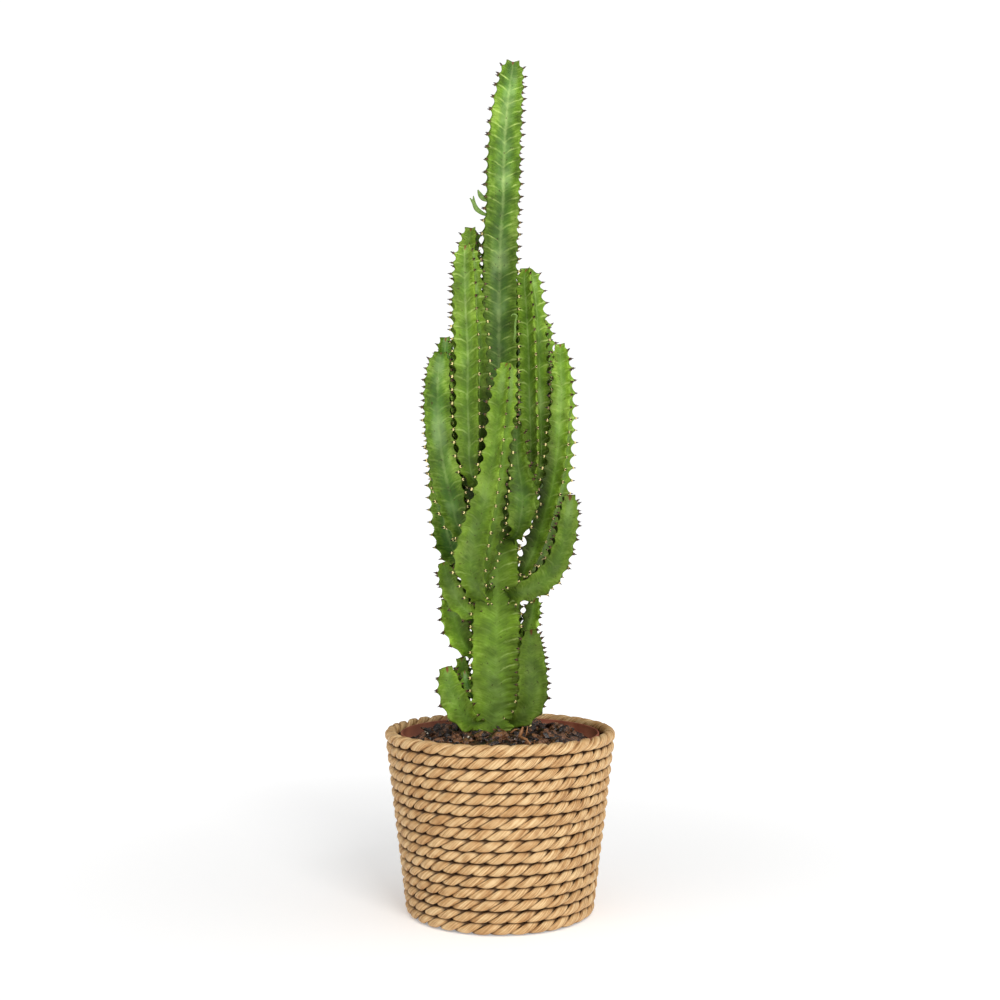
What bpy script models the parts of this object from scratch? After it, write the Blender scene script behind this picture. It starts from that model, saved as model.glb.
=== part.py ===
"""Potted African milk tree: four-ribbed spiny stems in a nursery pot inside a coiled rope basket.

Metres, +Z up. The origin is the centre of the basket's underside, and the plant's front faces -Y.
"""

import math
import random

import bpy
import numpy as np
from mathutils import Vector
from mathutils.bvhtree import BVHTree

MM = 0.001
GAP = 0.3 * MM

# Basket: rope rows laid in a coil round a cone
ROPE_ROWS = 16
BASKET_HEIGHT = 158.7 * MM
RIM_RADIUS = 102.6 * MM
FOOT_RADIUS = 83.0 * MM
ROW_PITCH = BASKET_HEIGHT / ROPE_ROWS
ROPE_DIAMETER = 12.2 * MM
RIM_CROWN = (0.32, 0.68)
RIM_DROP = 0.4
ROW_GROOVE = 3.4 * MM
STRAND_GROOVE = 1.3 * MM
STRAND_SLANT = 0.24
STRANDS_PER_ROW = 32
BASKET_FLOOR = 8.0 * MM

# Nursery pot inside the basket
POT_TOP = 155.0 * MM
POT_RIM_RADIUS = 87.0 * MM
POT_FOOT_RADIUS = 64.0 * MM
POT_WALL = 1.6 * MM
POT_LIP_HEIGHT = 9.0 * MM
POT_NECK_RADIUS = 84.8 * MM
POT_SEGMENTS = 40

# Potting mix
SOIL_EDGE_Z = 144.0 * MM
SOIL_MOUND = 11.0 * MM
SOIL_BACK_RISE = 3.5 * MM
SOIL_HEAP = 5.0 * MM
SOIL_HEAP_PLACE = (4.0 * MM, -42.0 * MM)
SOIL_HEAP_RADIUS = 20.0 * MM
SOIL_WALL_GAP = 1.2 * MM
ROOT_HOLE_GAP = 0.45 * MM
SOIL_LUMP = 1.6 * MM
SOIL_RINGS = 7
SOIL_SEGMENTS = 40
SOIL_SEED = 11
FOOT_DIP = 7.0 * MM
FOOT_DIP_RADIUS = 30.0 * MM
ROOT_RADIUS = 13.0 * MM
ROOT_TOP_Z = 149.5 * MM
ROOT_END_Z = 112.0 * MM

# Stems: four ribs with concave faces between them, and a row of thorned teeth on each rib
RIBS = 4
TOOTH_PITCH = 11.0 * MM
TOOTH_HEIGHT = 2.4 * MM
TOOTH_GAP_DEPTH = 0.9 * MM
TOOTH_STAGGER = 0.3
FIRST_TOOTH = 9.8 * MM
SPINE_LENGTH = 3.6 * MM
SPINE_WIDTH = 1.1 * MM
SMALL_STEM_RADIUS = 9.0 * MM
HOLLOW_RATIO = 0.52
HOLLOW_STEP = 19.0 * MM
NECK_RATIO = 0.86
NECK_LENGTH = 13.0 * MM
TIP_ROUND = 1.2
TIP_RING = 2.6 * MM
CLEARANCE = 0.8 * MM
TRUNK_GAP = 0.6 * MM
NEAR = 20.0 * MM
RAY_STEP = 0.01 * MM

# Each stem is (x, y, z, crest radius) points in millimetres from its base to its tip, and the
# azimuth in degrees of its front rib at the tip and at the base, counted from the front
# towards +X.
TRUNK_POINTS = (
    (-4, 0, 152, 22), (-4, 0, 158, 24), (-3, 0, 182, 28), (-2.7, 0, 235, 28.2), (-2.2, 0, 279, 27),
    (-2, 0, 319, 24), (-1, 0, 367, 22.5), (-1, 0, 455, 21.5), (-1, 0, 535, 21), (0, 0, 588, 20.5),
    (2, 0, 619, 19.5), (3, 0, 660, 19), (5, 0, 695, 18), (7.5, 0, 718, 16), (9.5, 0, 733, 14),
    (11.5, 0, 747, 11),
)
TRUNK_TURN = (50, 41)

ARMS = {
    "arm_left_inner": (
        ((-9, -9, 369, 6), (-16, -18, 371, 6), (-22, -26, 379, 9), (-24, -30, 392, 12),
         (-24, -31, 410, 14), (-25, -31, 444, 14.5), (-25, -30, 487, 14.5), (-27, -29, 521, 14),
         (-28, -28, 552, 13), (-29, -27, 578, 9)),
        (25, 25)),
    "arm_left_inner_back": (
        ((-9, 10, 347, 6), (-17, 16, 350, 6), (-26, 17, 359, 10), (-30, 15, 380, 13), (-30, 13, 448, 14),
         (-30, 13, 501, 13.5), (-30.5, 13, 537, 13), (-28, 13, 575, 11), (-25, 13, 602, 7.5)),
        (30, 30)),
    "arm_right_inner": (
        ((6, -4, 361, 6), (17, -8, 363, 6), (26, -7, 370, 7), (30, -4, 383, 11), (31, -3, 407, 12.5),
         (30, -2, 446, 13), (29, -2, 490, 12.5), (27, -2, 526, 12), (25, -2, 548, 11),
         (25, -2, 563, 7.5)),
        (8, 8)),
    "arm_right_inner_back": (
        ((8, 8, 354, 6), (18, 16, 357, 6), (31, 22, 368, 8), (40, 24, 388, 11.5), (42, 24, 413, 12),
         (41, 24, 449, 12), (39.5, 24, 485, 10.5), (38.5, 24, 522, 6.5)),
        (20, 20)),
    "arm_left_outer": (
        ((-9, -6, 316, 6), (-20, -12, 318, 6), (-31, -16, 325, 8), (-38, -18, 340, 13),
         (-42, -20, 358, 16), (-46, -21, 375, 17), (-50, -21, 397, 16.5), (-53, -20, 423, 16),
         (-54, -20, 449, 15.5), (-53, -20, 469, 13.5), (-51, -20, 486, 10)),
        (45, 45)),
    "arm_left_outer_back": (
        ((-9, 9, 291, 6), (-20, 18, 294, 6), (-34, 24, 301, 11), (-42, 29, 314, 16), (-47, 32, 333, 16),
         (-50, 34, 359, 15.5), (-52, 35, 395, 15), (-52, 35, 432, 14), (-50, 35, 468, 11.5),
         (-49, 35, 507, 7)),
        (38, 38)),
    "arm_front": (
        ((-9, -9, 276, 7), (-16, -22, 275, 7), (-18.5, -35, 281, 11), (-20, -43, 291, 14),
         (-21.5, -47, 306, 19), (-17, -49, 328, 17.5), (-10.5, -50, 353, 15), (-5, -50, 383, 12),
         (-1, -49, 412, 11.3), (2.6, -47, 442, 11), (4.8, -45, 459, 9.2), (7, -44, 474, 6)),
        (12, 34)),
    "arm_right_outer": (
        ((6, -3, 283, 6), (15, -7, 286, 6), (23, -9, 294, 9), (30, -9, 307, 12), (37, -8, 326, 13),
         (42, -8, 345, 13), (48, -8, 369, 12), (52, -8, 397, 11.5), (54, -8, 428, 11.5),
         (55, -8, 455, 11), (54, -8, 476, 9.5), (53, -8, 495, 6.5)),
        (38, 8)),
    "arm_right_elbow": (
        ((6, -8, 277, 6), (12, -20, 277, 6), (18, -29, 279, 9.5), (25, -33, 282, 12),
         (35, -35, 288, 13.5), (46, -36, 300, 12.5), (54, -36, 319, 11.5), (58, -36, 340, 11),
         (60, -36, 362, 7)),
        (45, 45)),
    "arm_front_inner": (
        ((6, -7, 325, 5), (12, -19, 327, 5), (16, -28, 333, 8), (18, -32, 342, 14), (20, -34, 355, 16),
         (19, -34, 370, 14), (16, -34, 390, 10.5), (15, -33, 409, 9), (15, -33, 422, 6)),
        (38, 38)),
    "arm_low_left_top": (
        ((-10, -8, 257, 5), (-21, -13, 258, 5), (-30, -15, 263, 10), (-38, -16, 274, 12.5),
         (-45, -16, 289, 10.5), (-49, -16, 304, 6.5)),
        (45, 45)),
    "arm_low_left_middle": (
        ((-10, 9, 221, 5), (-22, 15, 222, 5), (-31, 16, 228, 10), (-37, 15, 240, 14.5),
         (-42, 14, 256, 14), (-45, 13, 273, 10)),
        (50, 50)),
    "arm_low_left_stub": (
        ((-10, 10, 186, 4), (-23, 15, 188, 4), (-30, 14, 196, 8), (-33, 13, 207, 8), (-34, 12, 219, 5)),
        (45, 45)),
    "arm_low_left_bottom": (
        ((-10, -8, 165, 6), (-22, -15, 165, 6), (-29, -19, 169, 12), (-36, -21, 180, 16),
         (-43, -21, 195, 14), (-46, -21, 214, 8)),
        (48, 48)),
    "arm_low_left_bud": (
        ((-10, -6, 184, 3), (-21, -10, 185, 3), (-26, -10, 191, 5), (-29, -9, 199, 5.5),
         (-31, -8, 209, 3.8)),
        (45, 45)),
    "arm_low_right": (
        ((6, -8, 166, 6), (14, -19, 167, 7), (21, -21, 174, 13), (27, -21, 186, 16.5), (28, -21, 202, 17),
         (27, -20, 223, 15), (27, -20, 246, 8.5)),
        (45, 45)),
    "arm_low_right_slim": (
        ((6, 6, 224, 4), (16, 12, 227, 4), (23, 13, 238, 8), (28, 13, 254, 9), (31, 13, 272, 6)),
        (40, 40)),
    "arm_back_right": (
        ((0, 8, 300, 6), (3, 22, 302, 6), (5, 30, 310, 8), (7, 34, 330, 9.5), (9, 37, 370, 12.5),
         (10, 38, 420, 13), (10, 38, 480, 13), (11, 38, 530, 12), (12, 38, 556, 9)),
        (30, 30)),
    "arm_back_left": (
        ((-8, 10, 236, 6), (-16, 24, 238, 6), (-20, 38, 246, 11), (-20, 46, 262, 16), (-17, 50, 292, 17),
         (-14, 51, 330, 15.5), (-12, 50, 372, 14), (-11, 49, 412, 12.5), (-11, 49, 446, 9)),
        (15, 15)),
    "arm_back_low": (
        ((4, 10, 176, 5), (9, 24, 178, 5), (14, 34, 185, 10), (18, 41, 200, 13.5), (20, 44, 218, 12),
         (21, 45, 236, 8)),
        (30, 30)),
}

# Young leaves on the trunk's teeth: (x, y, z, half width) in millimetres from the base to the tip
LEAF_THICKNESS = 1.5 * MM
YOUNG_LEAVES = (
    ((-6, -8, 619.5, 1.0), (-11, -12, 620.5, 1.4), (-15, -14, 622, 2.1), (-17.5, -15, 625, 2.0),
     (-19.4, -16, 629, 0.6)),
    ((-6, -8, 607.5, 1.3), (-12.3, -12, 608.2, 1.4), (-16, -15, 609, 1.8), (-20.6, -17, 612.2, 2.1),
     (-23, -18, 617, 1.6), (-26.3, -19, 621, 0.5)),
    ((-21, -17, 613, 1.0), (-22.6, -17.5, 618, 1.3), (-23.2, -18, 623.2, 0.5)),
    ((6, -8, 490, 1.0), (11, -15, 494, 1.2), (12, -20, 497, 1.4), (13, -22, 502, 1.5),
     (13, -23, 508.6, 1.3), (13.6, -23.5, 514, 1.1), (14.5, -24, 517.5, 1.0), (11.4, -24.5, 518.6, 0.8),
     (9.6, -25, 517, 0.5)),
)


def lerp(a, b, t):
    return a + (b - a) * t


def smooth_path(points, steps=12):
    """Catmull-Rom curve through the points, as rows of x, y, z, radius."""
    p = np.array(points, dtype=float) * MM
    p = np.vstack([2 * p[0] - p[1], p, 2 * p[-1] - p[-2]])
    rows = []
    for i in range(1, len(p) - 2):
        for t in np.linspace(0, 1, steps, endpoint=False):
            a = 2 * p[i]
            b = p[i + 1] - p[i - 1]
            c = 2 * p[i - 1] - 5 * p[i] + 4 * p[i + 1] - p[i + 2]
            d = -p[i - 1] + 3 * p[i] - 3 * p[i + 1] + p[i + 2]
            rows.append(0.5 * (a + b * t + c * t * t + d * t ** 3))
    rows.append(p[-2])
    return np.array(rows)


class Stem:
    """One ribbed stem: its centreline, its radius along it, and the directions of its ribs."""

    def __init__(self, points, turn):
        path = smooth_path(points)
        self.centres = path[:, :3]
        self.radii = path[:, 3]
        steps = np.linalg.norm(np.diff(self.centres, axis=0), axis=1)
        self.lengths = np.concatenate([[0], np.cumsum(steps)])
        self.length = self.lengths[-1]
        self.turn_tip = math.radians(turn[0])
        self.turn_base = math.radians(turn[1])
        self.tangents = np.gradient(self.centres, self.lengths, axis=0)
        self.tangents /= np.linalg.norm(self.tangents, axis=1)[:, None]
        # The front direction is carried down from the tip, so that ribs don't twist at a bend
        fronts = [np.array((0.0, -1.0, 0.0))]
        for tangent in self.tangents[::-1]:
            front = fronts[-1] - tangent * np.dot(fronts[-1], tangent)
            fronts.append(front / np.linalg.norm(front))
        self.fronts = np.array(fronts[:0:-1])

    def at(self, s, values):
        return np.array([np.interp(s, self.lengths, values[:, i]) for i in range(3)])

    def radius(self, s):
        """Crest radius at length s, rounded off at the tip."""
        radius = float(np.interp(s, self.lengths, self.radii))
        rounding = TIP_ROUND * self.radii[-1]
        left = min(1.0, max(0.0, (self.length - s) / rounding))
        return radius * math.sqrt(1 - (1 - left) ** 2)

    def point(self, s, rib, radius):
        """The point at length s, at the rib angle (in ribs), and that far from the centreline."""
        tangent = self.at(s, self.tangents)
        tangent /= np.linalg.norm(tangent)
        front = self.at(s, self.fronts)
        front -= tangent * np.dot(front, tangent)
        front /= np.linalg.norm(front)
        side = np.cross(tangent, front)
        angle = lerp(self.turn_base, self.turn_tip, s / self.length) + rib * 2 * math.pi / RIBS
        offset = front * math.cos(angle) + side * math.sin(angle)
        return Vector(self.at(s, self.centres) + offset * radius)


def is_inside(tree, point):
    """Whether a ray from the point leaves the tree's closed body an odd number of times."""
    direction = Vector((0.31, 0.52, 0.79)).normalized()
    crossings = 0
    place = tree.ray_cast(point, direction)[0]
    while place is not None:
        crossings += 1
        place = tree.ray_cast(place + direction * RAY_STEP, direction)[0]
    return crossings % 2 == 1


def clear_of(point, neighbours):
    """Whether the point is outside every neighbour, with some room to spare."""
    for tree in neighbours:
        away = tree.find_nearest(point)[3]
        if away < CLEARANCE or (away < NEAR and is_inside(tree, point)):
            return False
    return True


def strip(faces, left, right):
    """Triangles between two rows of (length, vertex), the right row lying at the larger angle."""
    i = j = 0
    while i < len(left) - 1 or j < len(right) - 1:
        take_left = j == len(right) - 1 or (i < len(left) - 1 and left[i + 1][0] <= right[j + 1][0])
        if take_left:
            faces.append((left[i][1], right[j][1], left[i + 1][1]))
            i += 1
        else:
            faces.append((left[i][1], right[j][1], right[j + 1][1]))
            j += 1


class StemMesh:
    """Closed mesh of a stem: a toothed crest row on each rib, a sparser row in each face's hollow."""

    def __init__(self, stem, neighbours=(), grow=0.0, thorned=True, rooted=False):
        self.stem = stem
        self.neighbours = neighbours
        self.grow = grow
        self.thorned = thorned
        self.verts = []
        self.faces = []
        self.last = stem.length - TIP_RING
        self.count = max(2, round((self.last - FIRST_TOOTH) / TOOTH_PITCH))
        self.pitch = (self.last - FIRST_TOOTH) / self.count
        self.crests = [self.crest_rows(rib) for rib in range(RIBS)]
        self.hollows = [self.hollow_row(rib) for rib in range(RIBS)]
        for rib in range(RIBS):
            strip(self.faces, self.crests[rib][1], self.hollows[rib])
            strip(self.faces, self.hollows[rib], self.crests[(rib + 1) % RIBS][0])
        self.close_tip()
        self.close_base(rooted)

    def add(self, s, rib, radius):
        self.verts.append(self.stem.point(s, rib, radius))
        return len(self.verts) - 1

    def crest_rows(self, rib):
        """The crest as seen from its left face and from its right face, which part at each thorn."""
        stem = self.stem
        start = (0.0, self.add(0, rib, stem.radius(0) + self.grow))
        left = [start]
        right = [start]
        shift = self.pitch * ((rib * TOOTH_STAGGER) % 1.0 - 0.5)
        thorn_sides = None
        for tooth in range(self.count):
            s = FIRST_TOOTH + self.pitch * (tooth + 0.5) + shift
            small = min(1.0, stem.radius(s) / SMALL_STEM_RADIUS)
            gap_s = s - self.pitch / 2
            gap = (gap_s, self.add(gap_s, rib, stem.radius(gap_s) + self.grow - TOOTH_GAP_DEPTH * small))
            left.append(gap)
            right.append(gap)
            if thorn_sides:
                self.faces.append((*thorn_sides, gap[1]))
                thorn_sides = None
            top = stem.radius(s) + TOOTH_HEIGHT * small
            reach = top + SPINE_LENGTH * small
            if not clear_of(stem.point(s, rib, top), self.neighbours):
                flat = (s, self.add(s, rib, stem.radius(s) + self.grow - TOOTH_GAP_DEPTH * small))
                left.append(flat)
                right.append(flat)
            elif self.has_thorn(tooth, rib, s, top, reach):
                low, on_left, on_right = self.add_thorn(s, rib, top + self.grow, reach + self.grow)
                left.extend((low, on_left))
                right.extend((low, on_right))
                thorn_sides = (on_left[1], on_right[1])
            else:
                apex = (s, self.add(s, rib, top + self.grow))
                left.append(apex)
                right.append(apex)
        end = (self.last + TIP_RING / 2, self.add(self.last, rib, stem.radius(self.last) + self.grow))
        if thorn_sides:
            self.faces.append((*thorn_sides, end[1]))
        left.append(end)
        right.append(end)
        return left, right

    def has_thorn(self, tooth, rib, s, top, reach):
        if not self.thorned or (tooth + rib) % 2:
            return False
        tip = self.stem.point(s, rib, reach)
        middle = self.stem.point(s, rib, (top + reach) / 2)
        return clear_of(tip, self.neighbours) and clear_of(middle, self.neighbours)

    def add_thorn(self, s, rib, top, reach):
        """A three-sided thorn on the tooth, with its foot as part of the crest."""
        half = SPINE_WIDTH / 2
        turn = half / top * RIBS / (2 * math.pi)
        low = (s - half, self.add(s - half, rib, top))
        on_left = (s + half, self.add(s + half, rib - turn, top))
        on_right = (s + half, self.add(s + half, rib + turn, top))
        tip = self.add(s + half, rib, reach)
        self.faces.append((low[1], tip, on_left[1]))
        self.faces.append((low[1], on_right[1], tip))
        self.faces.append((on_left[1], tip, on_right[1]))
        return low, on_left, on_right

    def hollow_row(self, rib):
        """The row along the middle of the face after this rib, fuller at the neck."""
        stem = self.stem
        steps = max(3, round(stem.length / HOLLOW_STEP))
        row = []
        for step in range(steps + 1):
            s = self.last * step / steps
            ratio = lerp(NECK_RATIO, HOLLOW_RATIO, min(1.0, s / NECK_LENGTH))
            row.append((s, self.add(s, rib + 0.5, stem.radius(s) * ratio + self.grow)))
        return row

    def close_tip(self):
        top = self.add(self.stem.length, 0, 0)
        for rib in range(RIBS):
            hollow = self.hollows[rib][-1][1]
            self.faces.append((top, self.crests[rib][1][-1][1], hollow))
            self.faces.append((top, hollow, self.crests[(rib + 1) % RIBS][0][-1][1]))

    def close_base(self, rooted):
        """A flat base, or below a rooted stem a round root that goes down into the soil."""
        ring = []
        for rib in range(RIBS):
            ring.extend((self.crests[rib][1][0][1], self.hollows[rib][0][1]))
        if rooted:
            centre = self.stem.point(0, 0, 0)
            for z in (ROOT_TOP_Z, ROOT_END_Z):
                lower = []
                for k in range(RIBS * 2):
                    out = self.stem.point(0, k / 2, ROOT_RADIUS + self.grow) - centre
                    self.verts.append(Vector((centre.x + out.x, centre.y + out.y, z)))
                    lower.append(len(self.verts) - 1)
                for k in range(RIBS * 2):
                    j = (k + 1) % (RIBS * 2)
                    self.faces.append((ring[k], lower[k], lower[j]))
                    self.faces.append((ring[k], lower[j], ring[j]))
                ring = lower
        self.faces.append(tuple(reversed(ring)))

    def tree(self):
        return BVHTree.FromPolygons([tuple(v) for v in self.verts], self.faces)


def mesh_object(name, verts, faces, finish=None):
    mesh = bpy.data.meshes.new(name)
    mesh.from_pydata([tuple(v) for v in verts], [], faces)
    mesh.update()
    obj = bpy.data.objects.new(name, mesh)
    bpy.context.collection.objects.link(obj)
    if finish is not None:
        mesh.materials.append(finish)
    return obj


def material(name, color, roughness):
    mat = bpy.data.materials.new(name)
    mat.use_nodes = True
    shader = mat.node_tree.nodes["Principled BSDF"]
    shader.inputs["Base Color"].default_value = (*color, 1.0)
    shader.inputs["Roughness"].default_value = roughness
    shader.inputs["Metallic"].default_value = 0.0
    return mat


def rings_object(name, rings, finish):
    """Closed body from rings of points that go up its outside, then down its inside, with both ends filled."""
    count = len(rings[0])
    verts = [point for ring in rings for point in ring]
    faces = []
    for row in range(len(rings) - 1):
        low = row * count
        high = low + count
        for i in range(count):
            j = (i + 1) % count
            faces.append((low + i, low + j, high + j, high + i))
    faces.append(tuple(reversed(range(count))))
    faces.append(tuple(range(len(verts) - count, len(verts))))
    return mesh_object(name, verts, faces, finish)


def circle(radius, z, segments, x=0.0, y=0.0):
    points = []
    for i in range(segments):
        angle = 2 * math.pi * i / segments
        points.append((x + radius * math.cos(angle), y + radius * math.sin(angle), z))
    return points


def wall_radius(z):
    """Outer radius of the basket's cone at a height."""
    return lerp(FOOT_RADIUS, RIM_RADIUS, z / BASKET_HEIGHT)


def rope_crest(row, segments):
    """The ring along the middle of a rope row, standing out at each strand and sunk between them."""
    middle = (row + 0.5) * ROW_PITCH
    points = []
    for i in range(segments):
        angle = 2 * math.pi * i / segments
        between = (i + row) % 2
        radius = wall_radius(middle) - STRAND_GROOVE * between
        z = middle + ROW_PITCH * STRAND_SLANT * (between - 0.5)
        points.append((radius * math.cos(angle), radius * math.sin(angle), z))
    return points


def make_basket():
    """Rope rows one above another round a plain inner wall and floor."""
    segments = STRANDS_PER_ROW * 2
    rings = []
    for row in range(ROPE_ROWS):
        low = row * ROW_PITCH
        rings.append(circle(wall_radius(low) - ROW_GROOVE, low, segments))
        rings.append(rope_crest(row, segments))
    for inset in RIM_CROWN:
        rings.append(circle(RIM_RADIUS - ROPE_DIAMETER * inset, BASKET_HEIGHT, segments))
    rings.append(circle(RIM_RADIUS - ROPE_DIAMETER, BASKET_HEIGHT - ROPE_DIAMETER * RIM_DROP, segments))
    rings.append(circle(wall_radius(BASKET_FLOOR) - ROPE_DIAMETER, BASKET_FLOOR, segments))
    rings_object("basket", rings, material("water_hyacinth_rope", (0.55, 0.36, 0.19), 0.7))


def make_pot():
    """Thin plastic pot with a stepped lip, standing on the basket's floor."""
    foot = BASKET_FLOOR + GAP
    lip = POT_TOP - POT_LIP_HEIGHT
    profile = (
        (POT_FOOT_RADIUS, foot),
        (POT_NECK_RADIUS, lip),
        (POT_RIM_RADIUS, lip),
        (POT_RIM_RADIUS, POT_TOP),
        (POT_RIM_RADIUS - POT_WALL, POT_TOP),
        (POT_NECK_RADIUS - POT_WALL, lip),
        (POT_FOOT_RADIUS - POT_WALL, foot + POT_WALL),
    )
    rings = [circle(radius, z, POT_SEGMENTS) for radius, z in profile]
    rings_object("nursery_pot", rings, material("brown_polypropylene", (0.19, 0.08, 0.05), 0.5))


def foot_nearness(x, y):
    """1 at the stem's foot, falling to 0 round it."""
    away = math.hypot(x - TRUNK_POINTS[0][0] * MM, y - TRUNK_POINTS[0][1] * MM) / FOOT_DIP_RADIUS
    return math.exp(-away ** 4)


def soil_height(x, y, reach):
    """Height of the potting mix: a mound, higher at the back, a heap in front, a dip at the stem."""
    r = min(1.0, math.hypot(x, y) / reach)
    z = SOIL_EDGE_Z + SOIL_MOUND * (1 - r ** 3) + SOIL_BACK_RISE * y / reach
    heap = math.hypot(x - SOIL_HEAP_PLACE[0], y - SOIL_HEAP_PLACE[1]) / SOIL_HEAP_RADIUS
    z += SOIL_HEAP * math.exp(-heap * heap)
    return z - FOOT_DIP * foot_nearness(x, y)


def make_soil():
    """Potting mix that fills the pot, lumpy on top, with a plain hole for the stem's root."""
    rng = random.Random(SOIL_SEED)
    reach = POT_NECK_RADIUS - POT_WALL - SOIL_WALL_GAP
    foot = BASKET_FLOOR + GAP + POT_WALL + GAP
    root_x = TRUNK_POINTS[0][0] * MM
    root_y = TRUNK_POINTS[0][1] * MM
    hole = ROOT_RADIUS + ROOT_HOLE_GAP
    rings = [circle(POT_FOOT_RADIUS - POT_WALL - ROOT_HOLE_GAP, foot, SOIL_SEGMENTS)]
    for step in range(SOIL_RINGS + 1):
        t = step / SOIL_RINGS
        ring = []
        for x, y, _ in circle(lerp(reach, hole, t), 0, SOIL_SEGMENTS, root_x * t, root_y * t):
            lump = rng.uniform(-SOIL_LUMP, SOIL_LUMP) if step > 0 else 0.0
            ring.append((x, y, soil_height(x, y, reach) + lump * (1 - foot_nearness(x, y))))
        rings.append(ring)
    rings.append(circle(hole, ROOT_END_Z - GAP, SOIL_SEGMENTS, root_x, root_y))
    rings_object("soil", rings, material("potting_mix", (0.05, 0.03, 0.02), 0.85))


def leaf_rings(points):
    """Four-cornered rings of a narrow fleshy blade, its broad side towards the front."""
    path = np.array(points, dtype=float) * MM
    centres = path[:, :3]
    tangents = np.gradient(centres, axis=0)
    rings = []
    for centre, tangent, half in zip(centres, tangents, path[:, 3]):
        along = tangent / np.linalg.norm(tangent)
        side = np.cross(along, (0.0, -1.0, 0.0))
        side /= np.linalg.norm(side)
        normal = np.cross(along, side)
        thick = normal * min(LEAF_THICKNESS / 2, half)
        rings.append([tuple(centre + offset) for offset in (side * half, thick, -side * half, -thick)])
    return rings


def add_modifier(obj, name, operation, other):
    """A Boolean with the manifold solver, as the exact one leaves some stems empty."""
    other.hide_render = True
    other.display_type = "WIRE"
    modifier = obj.modifiers.new(name, "BOOLEAN")
    modifier.operation = operation
    modifier.solver = "MANIFOLD"
    modifier.object = other


def make_plant():
    """The trunk with its young leaves, and its arms. Teeth and thorns that would reach another stem
    are left out, and each arm's base follows the trunk's skin, a hair clear of it."""
    skin = material("stem_skin", (0.16, 0.30, 0.07), 0.45)
    stems = {name: Stem(points, turn) for name, (points, turn) in ARMS.items()}
    stems["trunk"] = Stem(TRUNK_POINTS, TRUNK_TURN)
    trees = {name: StemMesh(stem, thorned=False).tree() for name, stem in stems.items()}
    for name, stem in stems.items():
        others = [tree for other, tree in trees.items() if other != name]
        mesh = StemMesh(stem, others, rooted=name == "trunk")
        trees[name] = mesh.tree()
        mesh_object(name, mesh.verts, mesh.faces, skin)
    others = [tree for other, tree in trees.items() if other != "trunk"]
    mesh = StemMesh(stems["trunk"], others, grow=TRUNK_GAP, rooted=True)
    cutter = mesh_object("trunk_cutter", mesh.verts, mesh.faces)
    for name in ARMS:
        add_modifier(bpy.data.objects[name], "clear_of_trunk", "DIFFERENCE", cutter)
    for i, points in enumerate(YOUNG_LEAVES):
        leaf = rings_object(f"leaf_form_{i}", leaf_rings(points), skin)
        add_modifier(bpy.data.objects["trunk"], leaf.name, "UNION", leaf)


def main():
    for obj in list(bpy.data.objects):
        bpy.data.objects.remove(obj)
    make_basket()
    make_pot()
    make_soil()
    make_plant()


main()
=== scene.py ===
"""Looks of the potted African milk tree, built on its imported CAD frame.

Metres, +Z up, origin at the centre of the basket's underside, the plant's front towards -Y.
"""

import math
import random

import bpy
import numpy as np
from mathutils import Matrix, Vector, noise


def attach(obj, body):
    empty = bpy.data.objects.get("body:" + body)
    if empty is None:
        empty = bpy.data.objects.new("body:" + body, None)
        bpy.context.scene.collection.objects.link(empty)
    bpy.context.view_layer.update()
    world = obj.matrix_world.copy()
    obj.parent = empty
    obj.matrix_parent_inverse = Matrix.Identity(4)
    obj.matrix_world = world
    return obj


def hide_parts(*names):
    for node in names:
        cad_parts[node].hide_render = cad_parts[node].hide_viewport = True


MM = 0.001

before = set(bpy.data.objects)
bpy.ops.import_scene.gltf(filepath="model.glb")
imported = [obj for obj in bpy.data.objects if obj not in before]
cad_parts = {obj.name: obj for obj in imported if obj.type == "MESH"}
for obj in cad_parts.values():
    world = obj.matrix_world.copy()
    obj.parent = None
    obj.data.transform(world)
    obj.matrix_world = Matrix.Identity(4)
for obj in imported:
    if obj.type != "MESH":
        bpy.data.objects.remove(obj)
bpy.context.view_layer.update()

# Basket, pot and soil. The pot and the soil have the solids' own sizes, and the rope lies just
# inside the solid basket.
ROPE_ROWS = 16
RIM_RADIUS = 101.9 * MM
FOOT_RADIUS = 82.3 * MM
BASKET_HEIGHT = 158.7 * MM
PLY_WIDE = 3.75 * MM
PLY_THIN = 2.6 * MM
PLY_OFFSET = 2.6 * MM
TWIST_LENGTH = 29.0 * MM
TWIST_SPREAD = 0.1
PLY_SIDES = 10
PLY_WOBBLE = 1.3 * MM
PLY_GIRTHS = (0.84, 1.1)
ROW_STEPS = 269
ROW_WANDER = 0.35 * MM
ROW_INSET = 0.2 * MM
FIRST_ROW_LIFT = 0.6 * MM
BASE_PITCH = 9.9 * MM
BASE_LIFT = 0.3 * MM
BASE_STEPS = 150
SMALLEST_BASE_RING = 3.0 * MM
POT_TOP = 155.0 * MM
POT_LIP_HEIGHT = 9.0 * MM
POT_RIM_RADIUS = 87.0 * MM
POT_NECK_RADIUS = 84.8 * MM
POT_FOOT_RADIUS = 64.0 * MM
POT_WALL = 1.6 * MM
POT_FOOT_Z = 8.3 * MM
SOIL_EDGE_Z = 144.0 * MM
SOIL_MOUND = 11.0 * MM
SOIL_BACK_RISE = 3.5 * MM
SOIL_HEAP = 5.0 * MM
SOIL_HEAP_PLACE = (4.0 * MM, -42.0 * MM)
SOIL_HEAP_RADIUS = 20.0 * MM
SOIL_REACH = 82.6 * MM
SOIL_FOOT_Z = 10.2 * MM
SOIL_WALL_GAP = 0.45 * MM
SOIL_RINGS = 74
SOIL_SEGMENTS = 260
TRUNK_FOOT_X = -4.0 * MM
TRUNK_FOOT_CLEARANCE = 22.0 * MM
CRUMB_SHAPES = ((1.0, 0.62, 0.34), (1.0, 0.8, 0.6), (1.25, 0.4, 0.26))
CRUMB_TILT = 0.45
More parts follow.
